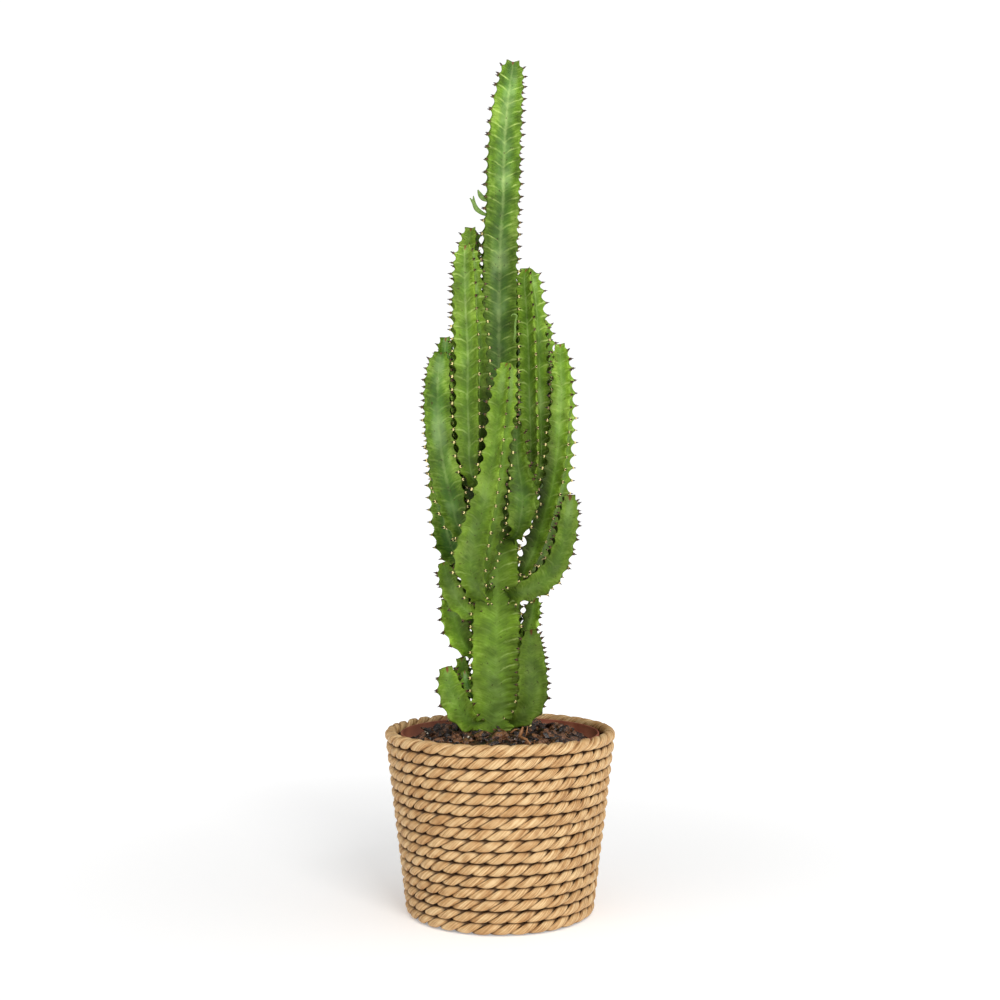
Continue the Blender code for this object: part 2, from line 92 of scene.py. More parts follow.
CRUMB_SMALLNESS = 2.5
GRAIN_LIFT = 0.9
STRAW_FLATNESS = 0.5
STRAW_END = (0.4, 0.3)

# Loose bits on the soil: white grains as (x, y, radius), and straws as a half width and then
# (x, y, lift over the soil) points, all in millimetres
WHITE_GRAINS = (
    (-64, 6, 1.2), (-70, 33, 1.1), (47, 47, 1.0), (34, -33, 1.3), (66, 42, 1.0), (-11, -38, 1.1),
    (-27, -33, 1.9), (-56, 23, 1.7),
)
STRAWS = (
    (1.5, (16, -44, 0.5), (18, -43, 6), (19.5, -42, 11)),
    (1.4, (19, -43, 1), (24, -45, 2), (30, -47, 1)),
    (1.2, (17, -44, 2), (22, -49, 3), (27, -54, 1)),
    (0.6, (22, -42, 4), (22.8, -42, 8), (23.6, -41, 12)),
    (0.8, (9, -40, 2), (12.5, -40, 5), (15, -41, 7)),
    (0.7, (-42, 30, 1), (-35, 8, 1.6), (-31, -14, 1.6), (-30, -36, 1)),
    (0.6, (-36, -38, 1), (-30, -42, 2.4), (-22, -44, 1)),
    (0.7, (48, 20, 1), (56, 6, 2), (60, -12, 1)),
)

# Stems: four ribs, teeth on each rib, hollow faces between them
RIBS = 4
TOOTH_PITCH = 11.0 * MM
TOOTH_HEIGHT = 3.9 * MM
TOOTH_GAP_DEPTH = 1.1 * MM
TOOTH_SHARPNESS = 2.1
TOOTH_GATHER = 0.65
TOOTH_STAGGER = 0.3
FIRST_TOOTH = 9.8 * MM
TIP_CROWDING = 1.0
TIP_CROWD_LENGTH = 25.0 * MM
SMALL_STEM_RADIUS = 9.0 * MM
SMALL_TOOTH_RADIUS = 5.0 * MM
TOOTH_SPAN = 0.42
TOOTH_FALL = 1.5
TEETH_START = 7.84 * MM
TEETH_END = 4.0 * MM
TIP_LEAN = 0.9
TIP_LEAN_LENGTH = 14.0 * MM
TIP_TOOTH_SHARE = 0.65
SPINE_SUNK = 0.7 * MM
HOLLOW_RATIO = 0.52
NECK_RATIO = 0.86
NECK_LENGTH = 13.0 * MM
TIP_ROUND = 1.05
TIP_RING = 2.6 * MM
TIP_GAP = 0.12 * MM
RING_STEP = 1.15 * MM
CREST_NOSE = 0.6 * MM
CREST_NOSE_DEPTH = 0.9 * MM
FACE_BOW = 0.54
CHEVRON_DROP = 0.3
CHEVRON_CURVE = 2.1
FOLD_DEPTH = 0.35 * MM
OLD_FOLD_DEPTH = 2.3 * MM
OLD_FOLD_WAVES = 2
OLD_RIB = 0
FOLD_SKEW = 0.7
# The heights between which the old rib's deep folds fade out, and the old skin turns younger
FOLD_FADE_Z = (247.5 * MM, 330.0 * MM)
OLD_SKIN_Z = (280.5 * MM, 429.0 * MM)
# A stem's slow swellings along its length, as (share of its radius, length) pairs
SWELLINGS = ((0.012, 23.0 * MM), (0.008, 9.0 * MM))
LEAST_RINGS = 20
TOOTH_SAMPLES = 2000
SPINE_LENGTH = 3.1 * MM
SPINE_RADIUS = 0.8 * MM
SPINE_TIP_RADIUS = 0.04 * MM
SPINE_SIDES = 5
SPINE_SIZES = (0.75, 1.15)
SPINE_SPREAD = 0.24
SPINE_RISE = 0.12
SPINE_CLEARANCE = 0.62
PAD_RADIUS = 1.1 * MM
PAD_SHAPE = (0.85, 1.25, 0.75)
# How far from a stem's tip its spines begin to fade from their young colour, and where they are old
YOUNG_LENGTH = 25.0 * MM
OLD_LENGTH = 90.0 * MM
TRUNK_OLD_LENGTH = 270.0 * MM
# Painted shade between close stems: the length of the pieces that the others are taken in, its strength,
# its step in rings, and how free of it the corners that close a stem's tip and base are
SHADE_SAMPLE = 8.0 * MM
SHADE_STRENGTH = 1.5
SHADE_RINGS = 5
END_SKY = (1.0, 0.3)
# Places across half a face, from the crest at 0 to the middle of the hollow at 1
ACROSS = np.array((0.0, 0.025, 0.08, 0.17, 0.31, 0.49, 0.72, 1.0))

# Share of warm yellow-green in a stem's skin, how light it is, and how clear its pale lines and its
# pale band are
SKIN_VALUES = ("warmth", "light", "lined", "banded")
PLAIN_TONE = (0.6, 0.98, 0.35, 0.3)
# Each stem is the azimuth in degrees of its front rib at the tip and at the base, its skin values,
# and then its (x, y, z, crest radius) points in millimetres from its base to its tip
STEMS = {
    "trunk": (
        (50, 41), (0.3, 1.0, 1.0, 1.0),
        (-4, 0, 140, 23), (-4, 0, 150, 25), (-4, 0, 160, 26.5), (-3, 0, 182, 28), (-2.7, 0, 235, 28.2),
        (-2.2, 0, 279, 27), (-2, 0, 319, 24), (-1, 0, 367, 22.5), (-1, 0, 455, 21.5), (-1, 0, 535, 21),
        (0, 0, 588, 20.5), (2, 0, 619, 19.5), (3, 0, 660, 19), (5, 0, 695, 18), (7.5, 0, 718, 16),
        (9.5, 0, 733, 14), (11.5, 0, 747, 11)),
    "arm_left_inner": (
        (25, 25), (0.75, 0.88, 0.7, 0.8),
        (-9, -9, 369, 6), (-16, -18, 371, 6), (-22, -26, 379, 9), (-24, -30, 392, 12),
        (-24, -31, 410, 14), (-25, -31, 444, 14.5), (-25, -30, 487, 14.5), (-27, -29, 521, 14),
        (-28, -28, 552, 13), (-29, -27, 578, 9)),
    "arm_left_inner_back": (
        (30, 30), (0.9, 0.9, 0.5, 0.4),
        (-9, 10, 347, 6), (-17, 16, 350, 6), (-26, 17, 359, 10), (-30, 15, 380, 13), (-30, 13, 448, 14),
        (-30, 13, 501, 13.5), (-30.5, 13, 537, 13), (-28, 13, 575, 11), (-25, 13, 602, 7.5)),
    "arm_right_inner": (
        (8, 8), (0.7, 0.95, 0.85, 0.6),
        (6, -4, 361, 6), (17, -8, 363, 6), (26, -7, 370, 7), (30, -4, 383, 11), (31, -3, 407, 12.5),
        (30, -2, 446, 13), (29, -2, 490, 12.5), (27, -2, 526, 12), (25, -2, 548, 11), (25, -2, 563, 7.5)),
    "arm_right_inner_back": (
        (20, 20), (0.6, 0.95, 0.3, 0.3),
        (8, 8, 354, 6), (18, 16, 357, 6), (31, 22, 368, 8), (40, 24, 388, 11.5), (42, 24, 413, 12),
        (41, 24, 449, 12), (39.5, 24, 485, 10.5), (38.5, 24, 522, 6.5)),
    "arm_left_outer": (
        (45, 45), (0.35, 0.82, 0.35, 0.6),
        (-9, -6, 316, 6), (-20, -12, 318, 6), (-31, -16, 325, 8), (-38, -18, 340, 13),
        (-42, -20, 358, 16), (-46, -21, 375, 17), (-50, -21, 397, 16.5), (-53, -20, 423, 16),
        (-54, -20, 449, 15.5), (-53, -20, 469, 13.5), (-51, -20, 486, 10)),
    "arm_left_outer_back": (
        (38, 38), (0.0, 1.4, 0.3, 0.9),
        (-9, 9, 291, 6), (-20, 18, 294, 6), (-34, 24, 301, 11), (-42, 29, 314, 16), (-47, 32, 333, 16),
        (-50, 34, 359, 15.5), (-52, 35, 395, 15), (-52, 35, 432, 14), (-50, 35, 468, 11.5),
        (-49, 35, 507, 7)),
    "arm_front": (
        (12, 34), (0.85, 0.83, 0.3, 0.12),
        (-9, -9, 276, 7), (-16, -22, 275, 7), (-18.5, -35, 281, 11), (-20, -43, 291, 14),
        (-21.5, -47, 306, 19), (-17, -49, 328, 17.5), (-10.5, -50, 353, 15), (-5, -50, 383, 12),
        (-1, -49, 412, 11.3), (2.6, -47, 442, 11), (4.8, -45, 459, 9.2), (7, -44, 474, 6)),
    "arm_right_outer": (
        (38, 8), (0.8, 1.0, 0.5, 0.25),
        (6, -3, 283, 6), (15, -7, 286, 6), (23, -9, 294, 9), (30, -9, 307, 12), (37, -8, 326, 13),
        (42, -8, 345, 13), (48, -8, 369, 12), (52, -8, 397, 11.5), (54, -8, 428, 11.5), (55, -8, 455, 11),
        (54, -8, 476, 9.5), (53, -8, 495, 6.5)),
    "arm_right_elbow": (
        (45, 45), (0.8, 0.55, 0.25, 0.1),
        (6, -8, 277, 6), (12, -20, 277, 6), (18, -29, 279, 9.5), (25, -33, 282, 12), (35, -35, 288, 13.5),
        (46, -36, 300, 12.5), (54, -36, 319, 11.5), (58, -36, 340, 11), (60, -36, 362, 7)),
    "arm_front_inner": (
        (38, 38), (0.6, 0.6, 0.35, 0.5),
        (6, -7, 325, 5), (12, -19, 327, 5), (16, -28, 333, 8), (18, -32, 342, 14), (20, -34, 355, 16),
        (19, -34, 370, 14), (16, -34, 390, 10.5), (15, -33, 409, 9), (15, -33, 422, 6)),
    "arm_low_left_top": (
        (45, 45), (0.8, 0.82, 0.2, 0.3),
        (-10, -8, 257, 5), (-21, -13, 258, 5), (-30, -15, 263, 10), (-38, -16, 274, 12.5),
        (-45, -16, 289, 10.5), (-49, -16, 304, 6.5)),
    "arm_low_left_middle": (
        (50, 50), (0.85, 1.35, 0.25, 0.2),
        (-10, 9, 221, 5), (-22, 15, 222, 5), (-31, 16, 228, 10), (-37, 15, 240, 14.5), (-42, 14, 256, 14),
        (-45, 13, 273, 10)),
    "arm_low_left_stub": (
        (45, 45), (0.7, 0.9, 0.2, 0.2),
        (-10, 10, 186, 4), (-23, 15, 188, 4), (-30, 14, 196, 8), (-33, 13, 207, 8), (-34, 12, 219, 5)),
    "arm_low_left_bottom": (
        (48, 48), (0.8, 0.82, 0.3, 0.1),
        (-10, -8, 165, 6), (-22, -15, 165, 6), (-29, -19, 169, 12), (-36, -21, 180, 16),
        (-43, -21, 195, 14), (-46, -21, 214, 8)),
    "arm_low_left_bud": (
        (45, 45), (0.1, 1.1, 0.2, 0.3),
        (-10, -6, 184, 3), (-21, -10, 185, 3), (-26, -10, 191, 5), (-29, -9, 199, 5.5),
        (-31, -8, 209, 3.8)),
    "arm_low_right": (
        (45, 45), (0.95, 0.47, 0.25, 0.05),
        (6, -8, 166, 6), (14, -19, 167, 7), (21, -21, 174, 13), (27, -21, 186, 16.5), (28, -21, 202, 17),
        (27, -20, 223, 15), (27, -20, 246, 8.5)),
    "arm_low_right_slim": (
        (40, 40), (0.8, 1.25, 0.15, 0.1),
        (6, 6, 224, 4), (16, 12, 227, 4), (23, 13, 238, 8), (28, 13, 254, 9), (31, 13, 272, 6)),
    "arm_back_right": (
        (30, 30), PLAIN_TONE,
        (0, 8, 300, 6), (3, 22, 302, 6), (5, 30, 310, 8), (7, 34, 330, 9.5), (9, 37, 370, 12.5),
        (10, 38, 420, 13), (10, 38, 480, 13), (11, 38, 530, 12), (12, 38, 556, 9)),
    "arm_back_left": (
        (15, 15), PLAIN_TONE,
        (-8, 10, 236, 6), (-16, 24, 238, 6), (-20, 38, 246, 11), (-20, 46, 262, 16), (-17, 50, 292, 17),
        (-14, 51, 330, 15.5), (-12, 50, 372, 14), (-11, 49, 412, 12.5), (-11, 49, 446, 9)),
    "arm_back_low": (
        (30, 30), PLAIN_TONE,
        (4, 10, 176, 5), (9, 24, 178, 5), (14, 34, 185, 10), (18, 41, 200, 13.5), (20, 44, 218, 12),
        (21, 45, 236, 8)),
}

# Young leaves on the trunk: (x, y, z, half width) in millimetres from the base to the tip
YOUNG_LEAVES = (
    ((-6, -8, 619.5, 1.0), (-11, -12, 620.5, 1.4), (-15, -14, 622, 2.1), (-17.5, -15, 625, 2.0),
     (-19.4, -16, 629, 0.5)),
    ((-6, -8, 607.5, 1.3), (-12.3, -12, 608.2, 1.4), (-16, -15, 609, 1.8), (-20.6, -17, 612.2, 2.1),
     (-23, -18, 617, 1.6), (-26.3, -19, 621, 0.4)),
    ((-21, -17, 613, 1.0), (-22.6, -17.5, 618, 1.3), (-23.2, -18, 623.2, 0.4)),
    ((6, -8, 490, 0.8), (11, -15, 494, 0.9), (12, -20, 497, 1.0), (13, -22, 502, 1.1),
     (13, -23, 508.6, 1.0), (13.6, -23.5, 514, 0.9), (14.5, -24, 517.5, 0.8), (11.4, -24.5, 518.6, 0.6),
     (9.6, -25, 517, 0.4)),
)
LEAF_LEAST_HALF_WIDTH = 0.3 * MM
LEAF_HALF_THICKNESS = (0.25 * MM, 0.8 * MM)
LEAF_FLATNESS = 0.6

# How much of the painted shade between close stems shows on the stems that are lighter there than the
# rest
SHADE_SHARES = {"arm_right_inner": 0.6, "arm_left_outer_back": 0.35, "arm_low_left_stub": 0.6}
# The trunk's old lower part, with pale lines on its folds that partly stand as painted highlights, its
# middle darkened with painted shade between the arms, and the height over which the middle turns young
LOW_TRUNK_WARMTH = 0.95
LOW_TRUNK_LIGHT = 1.08
LOW_TRUNK_PATTERN = 0.15
LOW_TRUNK_FOLD_LINES_AND_HIGHLIGHTS = 0.75
MIDDLE_TRUNK_PAINTED_SHADE = 0.7
UPPER_TRUNK_LIGHT = 0.95
UPPER_TRUNK_Z = (520.0 * MM, 650.0 * MM)

# The camera's place in metres, its tilt up in radians, its sensor's width in millimetres, and its
# focal length as a share of that width
CAMERA_PLACE = (0, -1.178, 0.3345)
CAMERA_TILT = 0.0201
SENSOR_WIDTH = 36
LENS_TO_WIDTH = 1.3364
LAMP_AIM = (0, 0, 0.35)


def linear(code):
    """An sRGB hex colour as linear red, green, blue and alpha."""
    values = [int(code[i:i + 2], 16) / 255 for i in (1, 3, 5)]
    return [v / 12.92 if v <= 0.04045 else ((v + 0.055) / 1.055) ** 2.4 for v in values] + [1.0]


def fill(node, inputs):
    """Sets each input to a number or a colour, or links another node's output to it."""
    for key, value in inputs.items():
        if isinstance(value, bpy.types.NodeSocket):
            node.id_data.links.new(value, node.inputs[key])
        else:
            node.inputs[key].default_value = value


def put(tree, kind, inputs=None, **settings):
    """Adds a node with its settings and inputs."""
    node = tree.nodes.new(kind)
    for name, value in settings.items():
        setattr(node, name, value)
    fill(node, inputs or {})
    return node


def calc(operation, *values):
    """Maths with numbers and outputs, an output first, in that output's own tree."""
    tree = values[0].id_data
    return put(tree, "ShaderNodeMath", dict(enumerate(values)), operation=operation).outputs[0]


def product(first, *others):
    for other in others:
        first = calc("MULTIPLY", first, other)
    return first


def vector(tree, *values):
    return put(tree, "ShaderNodeCombineXYZ", dict(enumerate(values))).outputs[0]


def vector_calc(operation, *values):
    tree = values[0].id_data
    return put(tree, "ShaderNodeVectorMath", dict(enumerate(values)), operation=operation)


def scaled(value, amount):
    inputs = {0: value, "Scale": amount}
    return put(value.id_data, "ShaderNodeVectorMath", inputs, operation="SCALE").outputs[0]


def remap(value, old, new, smooth=False):
    """The value clamped to its old range and spread over the new one."""
    ends = {"Value": value, "From Min": old[0], "From Max": old[1], "To Min": new[0], "To Max": new[1]}
    shape = "SMOOTHSTEP" if smooth else "LINEAR"
    return put(value.id_data, "ShaderNodeMapRange", ends, interpolation_type=shape).outputs[0]


def blend(share, first, second):
    """The first colour, turned into the second by a share from 0 to 1."""
    inputs = {0: share, "A": first, "B": second}
    return put(share.id_data, "ShaderNodeMix", inputs, data_type="RGBA").outputs["Result"]


def tint(value, *stops):
    """A colour for the value, from (value, sRGB hex) stops."""
    node = put(value.id_data, "ShaderNodeValToRGB", {0: value})
    ramp = node.color_ramp.elements
    while len(ramp) < len(stops):
        ramp.new(0.5)
    for element, (place, code) in zip(ramp, stops):
        element.position = place
        element.color = linear(code)
    return node.outputs[0]


def mottle(place, scale, detail, roughness=0.5):
    """Noise from 0 to 1, with about as many patches in a metre as its scale."""
    inputs = {"Vector": place, "Scale": scale, "Detail": detail, "Roughness": roughness}
    return put(place.id_data, "ShaderNodeTexNoise", inputs).outputs["Fac"]


def jostle(place, scale, detail, amount):
    """A push of a random direction for each place, up to half the amount along each axis."""
    inputs = {"Vector": place, "Scale": scale, "Detail": detail}
    rough = put(place.id_data, "ShaderNodeTexNoise", inputs).outputs["Color"]
    return scaled(vector_calc("SUBTRACT", rough, (0.5, 0.5, 0.5)).outputs[0], amount)


def bump(height, strength, distance):
    inputs = {"Height": height, "Strength": strength, "Distance": distance}
    return put(height.id_data, "ShaderNodeBump", inputs).outputs[0]


def carried(tree, name):
    """A mesh attribute, read by a material."""
    return put(tree, "ShaderNodeAttribute", attribute_name=name).outputs["Fac"]


def named(tree, name, kind="FLOAT"):
    """A point attribute, read by a Geometry Nodes tree."""
    return put(tree, "GeometryNodeInputNamedAttribute", {"Name": name}, data_type=kind).outputs[0]


def store(geometry, name, value, kind="FLOAT"):
    inputs = {"Geometry": geometry, "Name": name, "Value": value}
    return put(geometry.id_data, "GeometryNodeStoreNamedAttribute", inputs, data_type=kind,
               domain="POINT").outputs[0]


def moved(geometry, **change):
    return put(geometry.id_data, "GeometryNodeTransform", {"Geometry": geometry, **change}).outputs[0]


def close_tree(geometry, finish):
    """Makes the instances real, gives them their material and ends the tree."""
    tree = geometry.id_data
    real = put(tree, "GeometryNodeRealizeInstances", {0: geometry})
    done = put(tree, "GeometryNodeSetMaterial", {0: real.outputs[0], "Material": finish})
    put(tree, "NodeGroupOutput", {0: done.outputs[0]})
    return tree


def lerp(a, b, t):
    return a + (b - a) * t


def smoothstep(low, high, x):
    t = np.clip((x - low) / (high - low), 0, 1)
    return t * t * (3 - 2 * t)


def mesh_piece(name, verts, faces, finish):
    """A piece from arrays of corners and faces, with its place in its mesh."""
    mesh = bpy.data.meshes.new(name)
    mesh.from_pydata([tuple(v) for v in verts], [], [tuple(int(i) for i in f) for f in faces])
    mesh.polygons.foreach_set("use_smooth", [True] * len(mesh.polygons))
    mesh.materials.append(finish)
    mesh.update()
    piece = bpy.data.objects.new(name, mesh)
    bpy.context.scene.collection.objects.link(piece)
    return piece


def settle(piece, slot, *nodes):
    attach(piece, "root")
    if nodes:
        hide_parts(*nodes)


def node_piece(name, verts, attributes, tree, values):
    """Points with named attributes, run through a Geometry Nodes tree and made a plain mesh."""
    mesh = bpy.data.meshes.new(name)
    mesh.from_pydata([tuple(v) for v in verts], [], [])
    for key, data in attributes.items():
        data = np.asarray(data, dtype=float)
        kind = "FLOAT_VECTOR" if data.ndim == 2 else "FLOAT"
        field = "vector" if data.ndim == 2 else "value"
        mesh.attributes.new(key, kind, "POINT").data.foreach_set(field, data.ravel())
    piece = bpy.data.objects.new(name, mesh)
    bpy.context.scene.collection.objects.link(piece)
    modifier = piece.modifiers.new(name, "NODES")
    modifier.node_group = tree
    for item in tree.interface.items_tree:
        if item.item_type == "SOCKET" and item.in_out == "INPUT" and item.name in values:
            modifier[item.identifier] = values[item.name]
    graph = bpy.context.evaluated_depsgraph_get()
    baked = bpy.data.meshes.new_from_object(piece.evaluated_get(graph))
    piece.modifiers.clear()
    piece.data = baked
    baked.name = name
    return piece


def node_group(name, **sockets):
    """A Geometry Nodes tree with named inputs, each given with its kind, and their outputs in it."""
    tree = bpy.data.node_groups.new(name, "GeometryNodeTree")
    tree.interface.new_socket("Geometry", in_out="INPUT", socket_type="NodeSocketGeometry")
    for label, kind in sockets.items():
        tree.interface.new_socket(label, in_out="INPUT", socket_type="NodeSocket" + kind)
    tree.interface.new_socket("Geometry", in_out="OUTPUT", socket_type="NodeSocketGeometry")
    return tree, put(tree, "NodeGroupInput").outputs


def circle(radius, z, segments):
    angles = [2 * math.pi * i / segments for i in range(segments)]
    return [(radius * math.cos(a), radius * math.sin(a), z) for a in angles]


def ring_faces(rings, segments):
    """Quads between rings of corners that follow one another."""
    faces = []
    for low in range(0, (rings - 1) * segments, segments):
        high = low + segments
        for i in range(segments):
            j = (i + 1) % segments
            faces.append((low + i, low + j, high + j, high + i))
    return faces


def end_faces(count, segments):
    """The two faces that close the first and the last ring of this many corners."""
    return [tuple(reversed(range(segments))), tuple(range(count - segments, count))]


def wall_radius(z):
    """Outer radius of the basket's cone at a height."""
    return lerp(FOOT_RADIUS, RIM_RADIUS, z / BASKET_HEIGHT)


def smooth_path(points, steps=12):
    """Catmull-Rom curve through the points, as rows of x, y, z, radius."""
    p = np.array(points, dtype=float) * MM
    p = np.vstack([2 * p[0] - p[1], p, 2 * p[-1] - p[-2]])
    rows = []
    for i in range(1, len(p) - 2):
        for t in np.linspace(0, 1, steps, endpoint=False):
            a = 2 * p[i]
            b = p[i + 1] - p[i - 1]
            c = 2 * p[i - 1] - 5 * p[i] + 4 * p[i + 1] - p[i + 2]
            d = -p[i - 1] + 3 * p[i] - 3 * p[i + 1] + p[i + 2]
            rows.append(0.5 * (a + b * t + c * t * t + d * t ** 3))
    rows.append(p[-2])
    return np.array(rows)


class Stem:
    """One ribbed stem: its centreline, its crest radius and the directions of its ribs."""

    def __init__(self, points, turn):
        path = smooth_path(points)
        self.centres = path[:, :3]
        self.radii = path[:, 3]
        steps = np.linalg.norm(np.diff(self.centres, axis=0), axis=1)
        self.lengths = np.concatenate([[0], np.cumsum(steps)])
        self.length = self.lengths[-1]
        self.turn_tip, self.turn_base = (math.radians(angle) for angle in turn)
        self.tangents = np.gradient(self.centres, self.lengths, axis=0)
        self.tangents /= np.linalg.norm(self.tangents, axis=1)[:, None]
        fronts = [np.array((0.0, -1.0, 0.0))]
        for tangent in self.tangents[::-1]:
            front = fronts[-1] - tangent * np.dot(fronts[-1], tangent)
            fronts.append(front / np.linalg.norm(front))
        self.fronts = np.array(fronts[:0:-1])
        count = max(2, round((self.length - TIP_RING - FIRST_TOOTH) / TOOTH_PITCH))
        self.pitch = (self.length - TIP_RING - FIRST_TOOTH) / count

    def spread(self, s, values):
        return np.stack([np.interp(s, self.lengths, values[:, i]) for i in range(3)], axis=1)

    def radius(self, s):
        """Crest radius at the lengths s, rounded off at the tip."""
        rounding = TIP_ROUND * self.radii[-1]
        left = np.clip((self.length - s) / rounding, 0, 1)
        return np.interp(s, self.lengths, self.radii) * np.sqrt(1 - (1 - left) ** 2)

    def ribs(self, s, rib):
        """Centres, tangents, and the outward and sideways directions of one rib at the lengths s."""
        tangents = self.spread(s, self.tangents)
        tangents /= np.linalg.norm(tangents, axis=1)[:, None]
        fronts = self.spread(s, self.fronts)
        fronts -= tangents * np.sum(fronts * tangents, axis=1)[:, None]
        fronts /= np.linalg.norm(fronts, axis=1)[:, None]
        sides = np.cross(tangents, fronts)
        angle = (lerp(self.turn_base, self.turn_tip, s / self.length) + rib * 2 * math.pi / RIBS)[:, None]
        out = fronts * np.cos(angle) + sides * np.sin(angle)
        across = sides * np.cos(angle) - fronts * np.sin(angle)
        return self.spread(s, self.centres), tangents, out, across

    def tooth_phase(self, s, rib):
        """How many teeth lie below the lengths s on a rib: a whole number is a tooth's own place."""
        shift = self.pitch * (((rib % RIBS) * TOOTH_STAGGER) % 1.0 - 0.5)
        crowd = np.clip((s - self.length + TIP_CROWD_LENGTH) / TIP_CROWD_LENGTH, 0, 1) ** 2
        return (s - FIRST_TOOTH - shift) / self.pitch - 0.5 + TIP_CROWDING * crowd

    def teeth(self, rib):
        """The lengths at which this rib has a tooth."""
        s = np.linspace(0, self.length, TOOTH_SAMPLES)
        phase = self.tooth_phase(s, rib)
        first = math.ceil(phase[np.searchsorted(s, TEETH_START)])
        last = math.floor(np.interp(self.length - TEETH_END, s, phase))
        return np.interp(np.arange(first, last + 1), phase, s)

    def lean(self, s):
        """How far the teeth turn up towards the tip."""
        return TIP_LEAN * (1 - smoothstep(0, TIP_LEAN_LENGTH, self.length - s))

    def tooth_rise(self, s, rib):
        """Height of the rib's scalloped edge over its crest radius."""
        phase = self.tooth_phase(s, rib)
        near = 1 - 2 * np.abs(phase - np.round(phase))
        small = np.minimum(1, self.radius(s) / SMALL_TOOTH_RADIUS)
        small *= lerp(TIP_TOOTH_SHARE, 1, smoothstep(0, TIP_CROWD_LENGTH, self.length - s))
        return small * (TOOTH_HEIGHT * near ** TOOTH_SHARPNESS - TOOTH_GAP_DEPTH * (1 - near))


def fold_depth(stem, s, old):
    depth = np.full(len(s), FOLD_DEPTH)
    if old:
        z = stem.spread(s, stem.centres)[:, 2]
        depth = lerp(OLD_FOLD_DEPTH, FOLD_DEPTH, smoothstep(*FOLD_FADE_Z, z))
    return depth * np.minimum(1, stem.radius(s) / SMALL_STEM_RADIUS)


def half_face(stem, rings, rib, side, old):
    """Rows of points over half a face, from this rib's crest to the hollow on that side, and their
    place in the pattern: the tooth phase along the chevrons and the place across. Near the crest
    the rings are gathered at the teeth, so that the teeth come out sharp."""
    turns = 2 * math.pi * stem.tooth_phase(rings, rib)
    gather = stem.pitch * TOOTH_GATHER / (2 * math.pi) * np.sin(turns)
    gather *= smoothstep(0, stem.pitch, rings) * smoothstep(0, stem.pitch, stem.length - rings)
    rows = []
    phases = []
    for t in ACROSS:
        s = rings - gather * (1 - t) ** 2
        centres, tangents, out, across = stem.ribs(s, rib)
        r = stem.radius(s)
        ratio = lerp(NECK_RATIO, HOLLOW_RATIO, np.minimum(1, s / NECK_LENGTH)) / math.sqrt(2)
        nose = CREST_NOSE * np.minimum(1, r / SMALL_STEM_RADIUS)
        facing = out + across * side
        facing /= np.linalg.norm(facing, axis=1)[:, None]
        depth = r * (1 - ratio) * t
        tooth = stem.tooth_rise(s, rib) * max(0.0, 1 - t / TOOTH_SPAN) ** TOOTH_FALL
        x = r - depth + tooth
        lift = np.maximum(0, tooth) * stem.lean(s)
        y = r * ratio * (FACE_BOW * t + (1 - FACE_BOW) * t * t)
        inward = 1 - np.minimum(1, depth / CREST_NOSE_DEPTH)
        y = y + nose * np.sqrt(1 - inward ** 2) * (1 - t) ** 2
        along = stem.tooth_phase(s, rib) + CHEVRON_DROP * r * t ** CHEVRON_CURVE / stem.pitch
        folded = old and rib % RIBS == OLD_RIB
        fold = fold_depth(stem, s, folded)
        waves = OLD_FOLD_WAVES if folded else 1
        bulge = fold * 0.5 * (1 - np.cos(2 * math.pi * along * waves))
        bulge *= math.sin(math.pi * t ** FOLD_SKEW)
        rows.append(centres + out * x[:, None] + across * (side * y)[:, None] + facing * bulge[:, None]
                    + tangents * lift[:, None])
        phases.append(along)
    return np.array(rows), np.array(phases)


def open_sky(centres, points, others):
    """Painted shade: 1 where a stem stands free, and less between close neighbours, on a coarse set of
    rings.
    """
    outward = points - centres[:, None]
    outward /= np.linalg.norm(outward, axis=2)[:, :, None]
    blocked = np.zeros(points.shape[:2])
    for other in others:
        s = np.arange(SHADE_SAMPLE / 2, other.length, SHADE_SAMPLE)
        radii = np.interp(s, other.lengths, other.radii)
        for centre, radius in zip(other.spread(s, other.centres), radii):
            away = centre - points
            distance = np.maximum(np.linalg.norm(away, axis=2), radius)
            facing = np.maximum(0, np.sum(away * outward, axis=2) / distance)
            blocked += SHADE_STRENGTH * radius * SHADE_SAMPLE * facing / (math.pi * distance ** 2)
    return np.exp(-blocked)


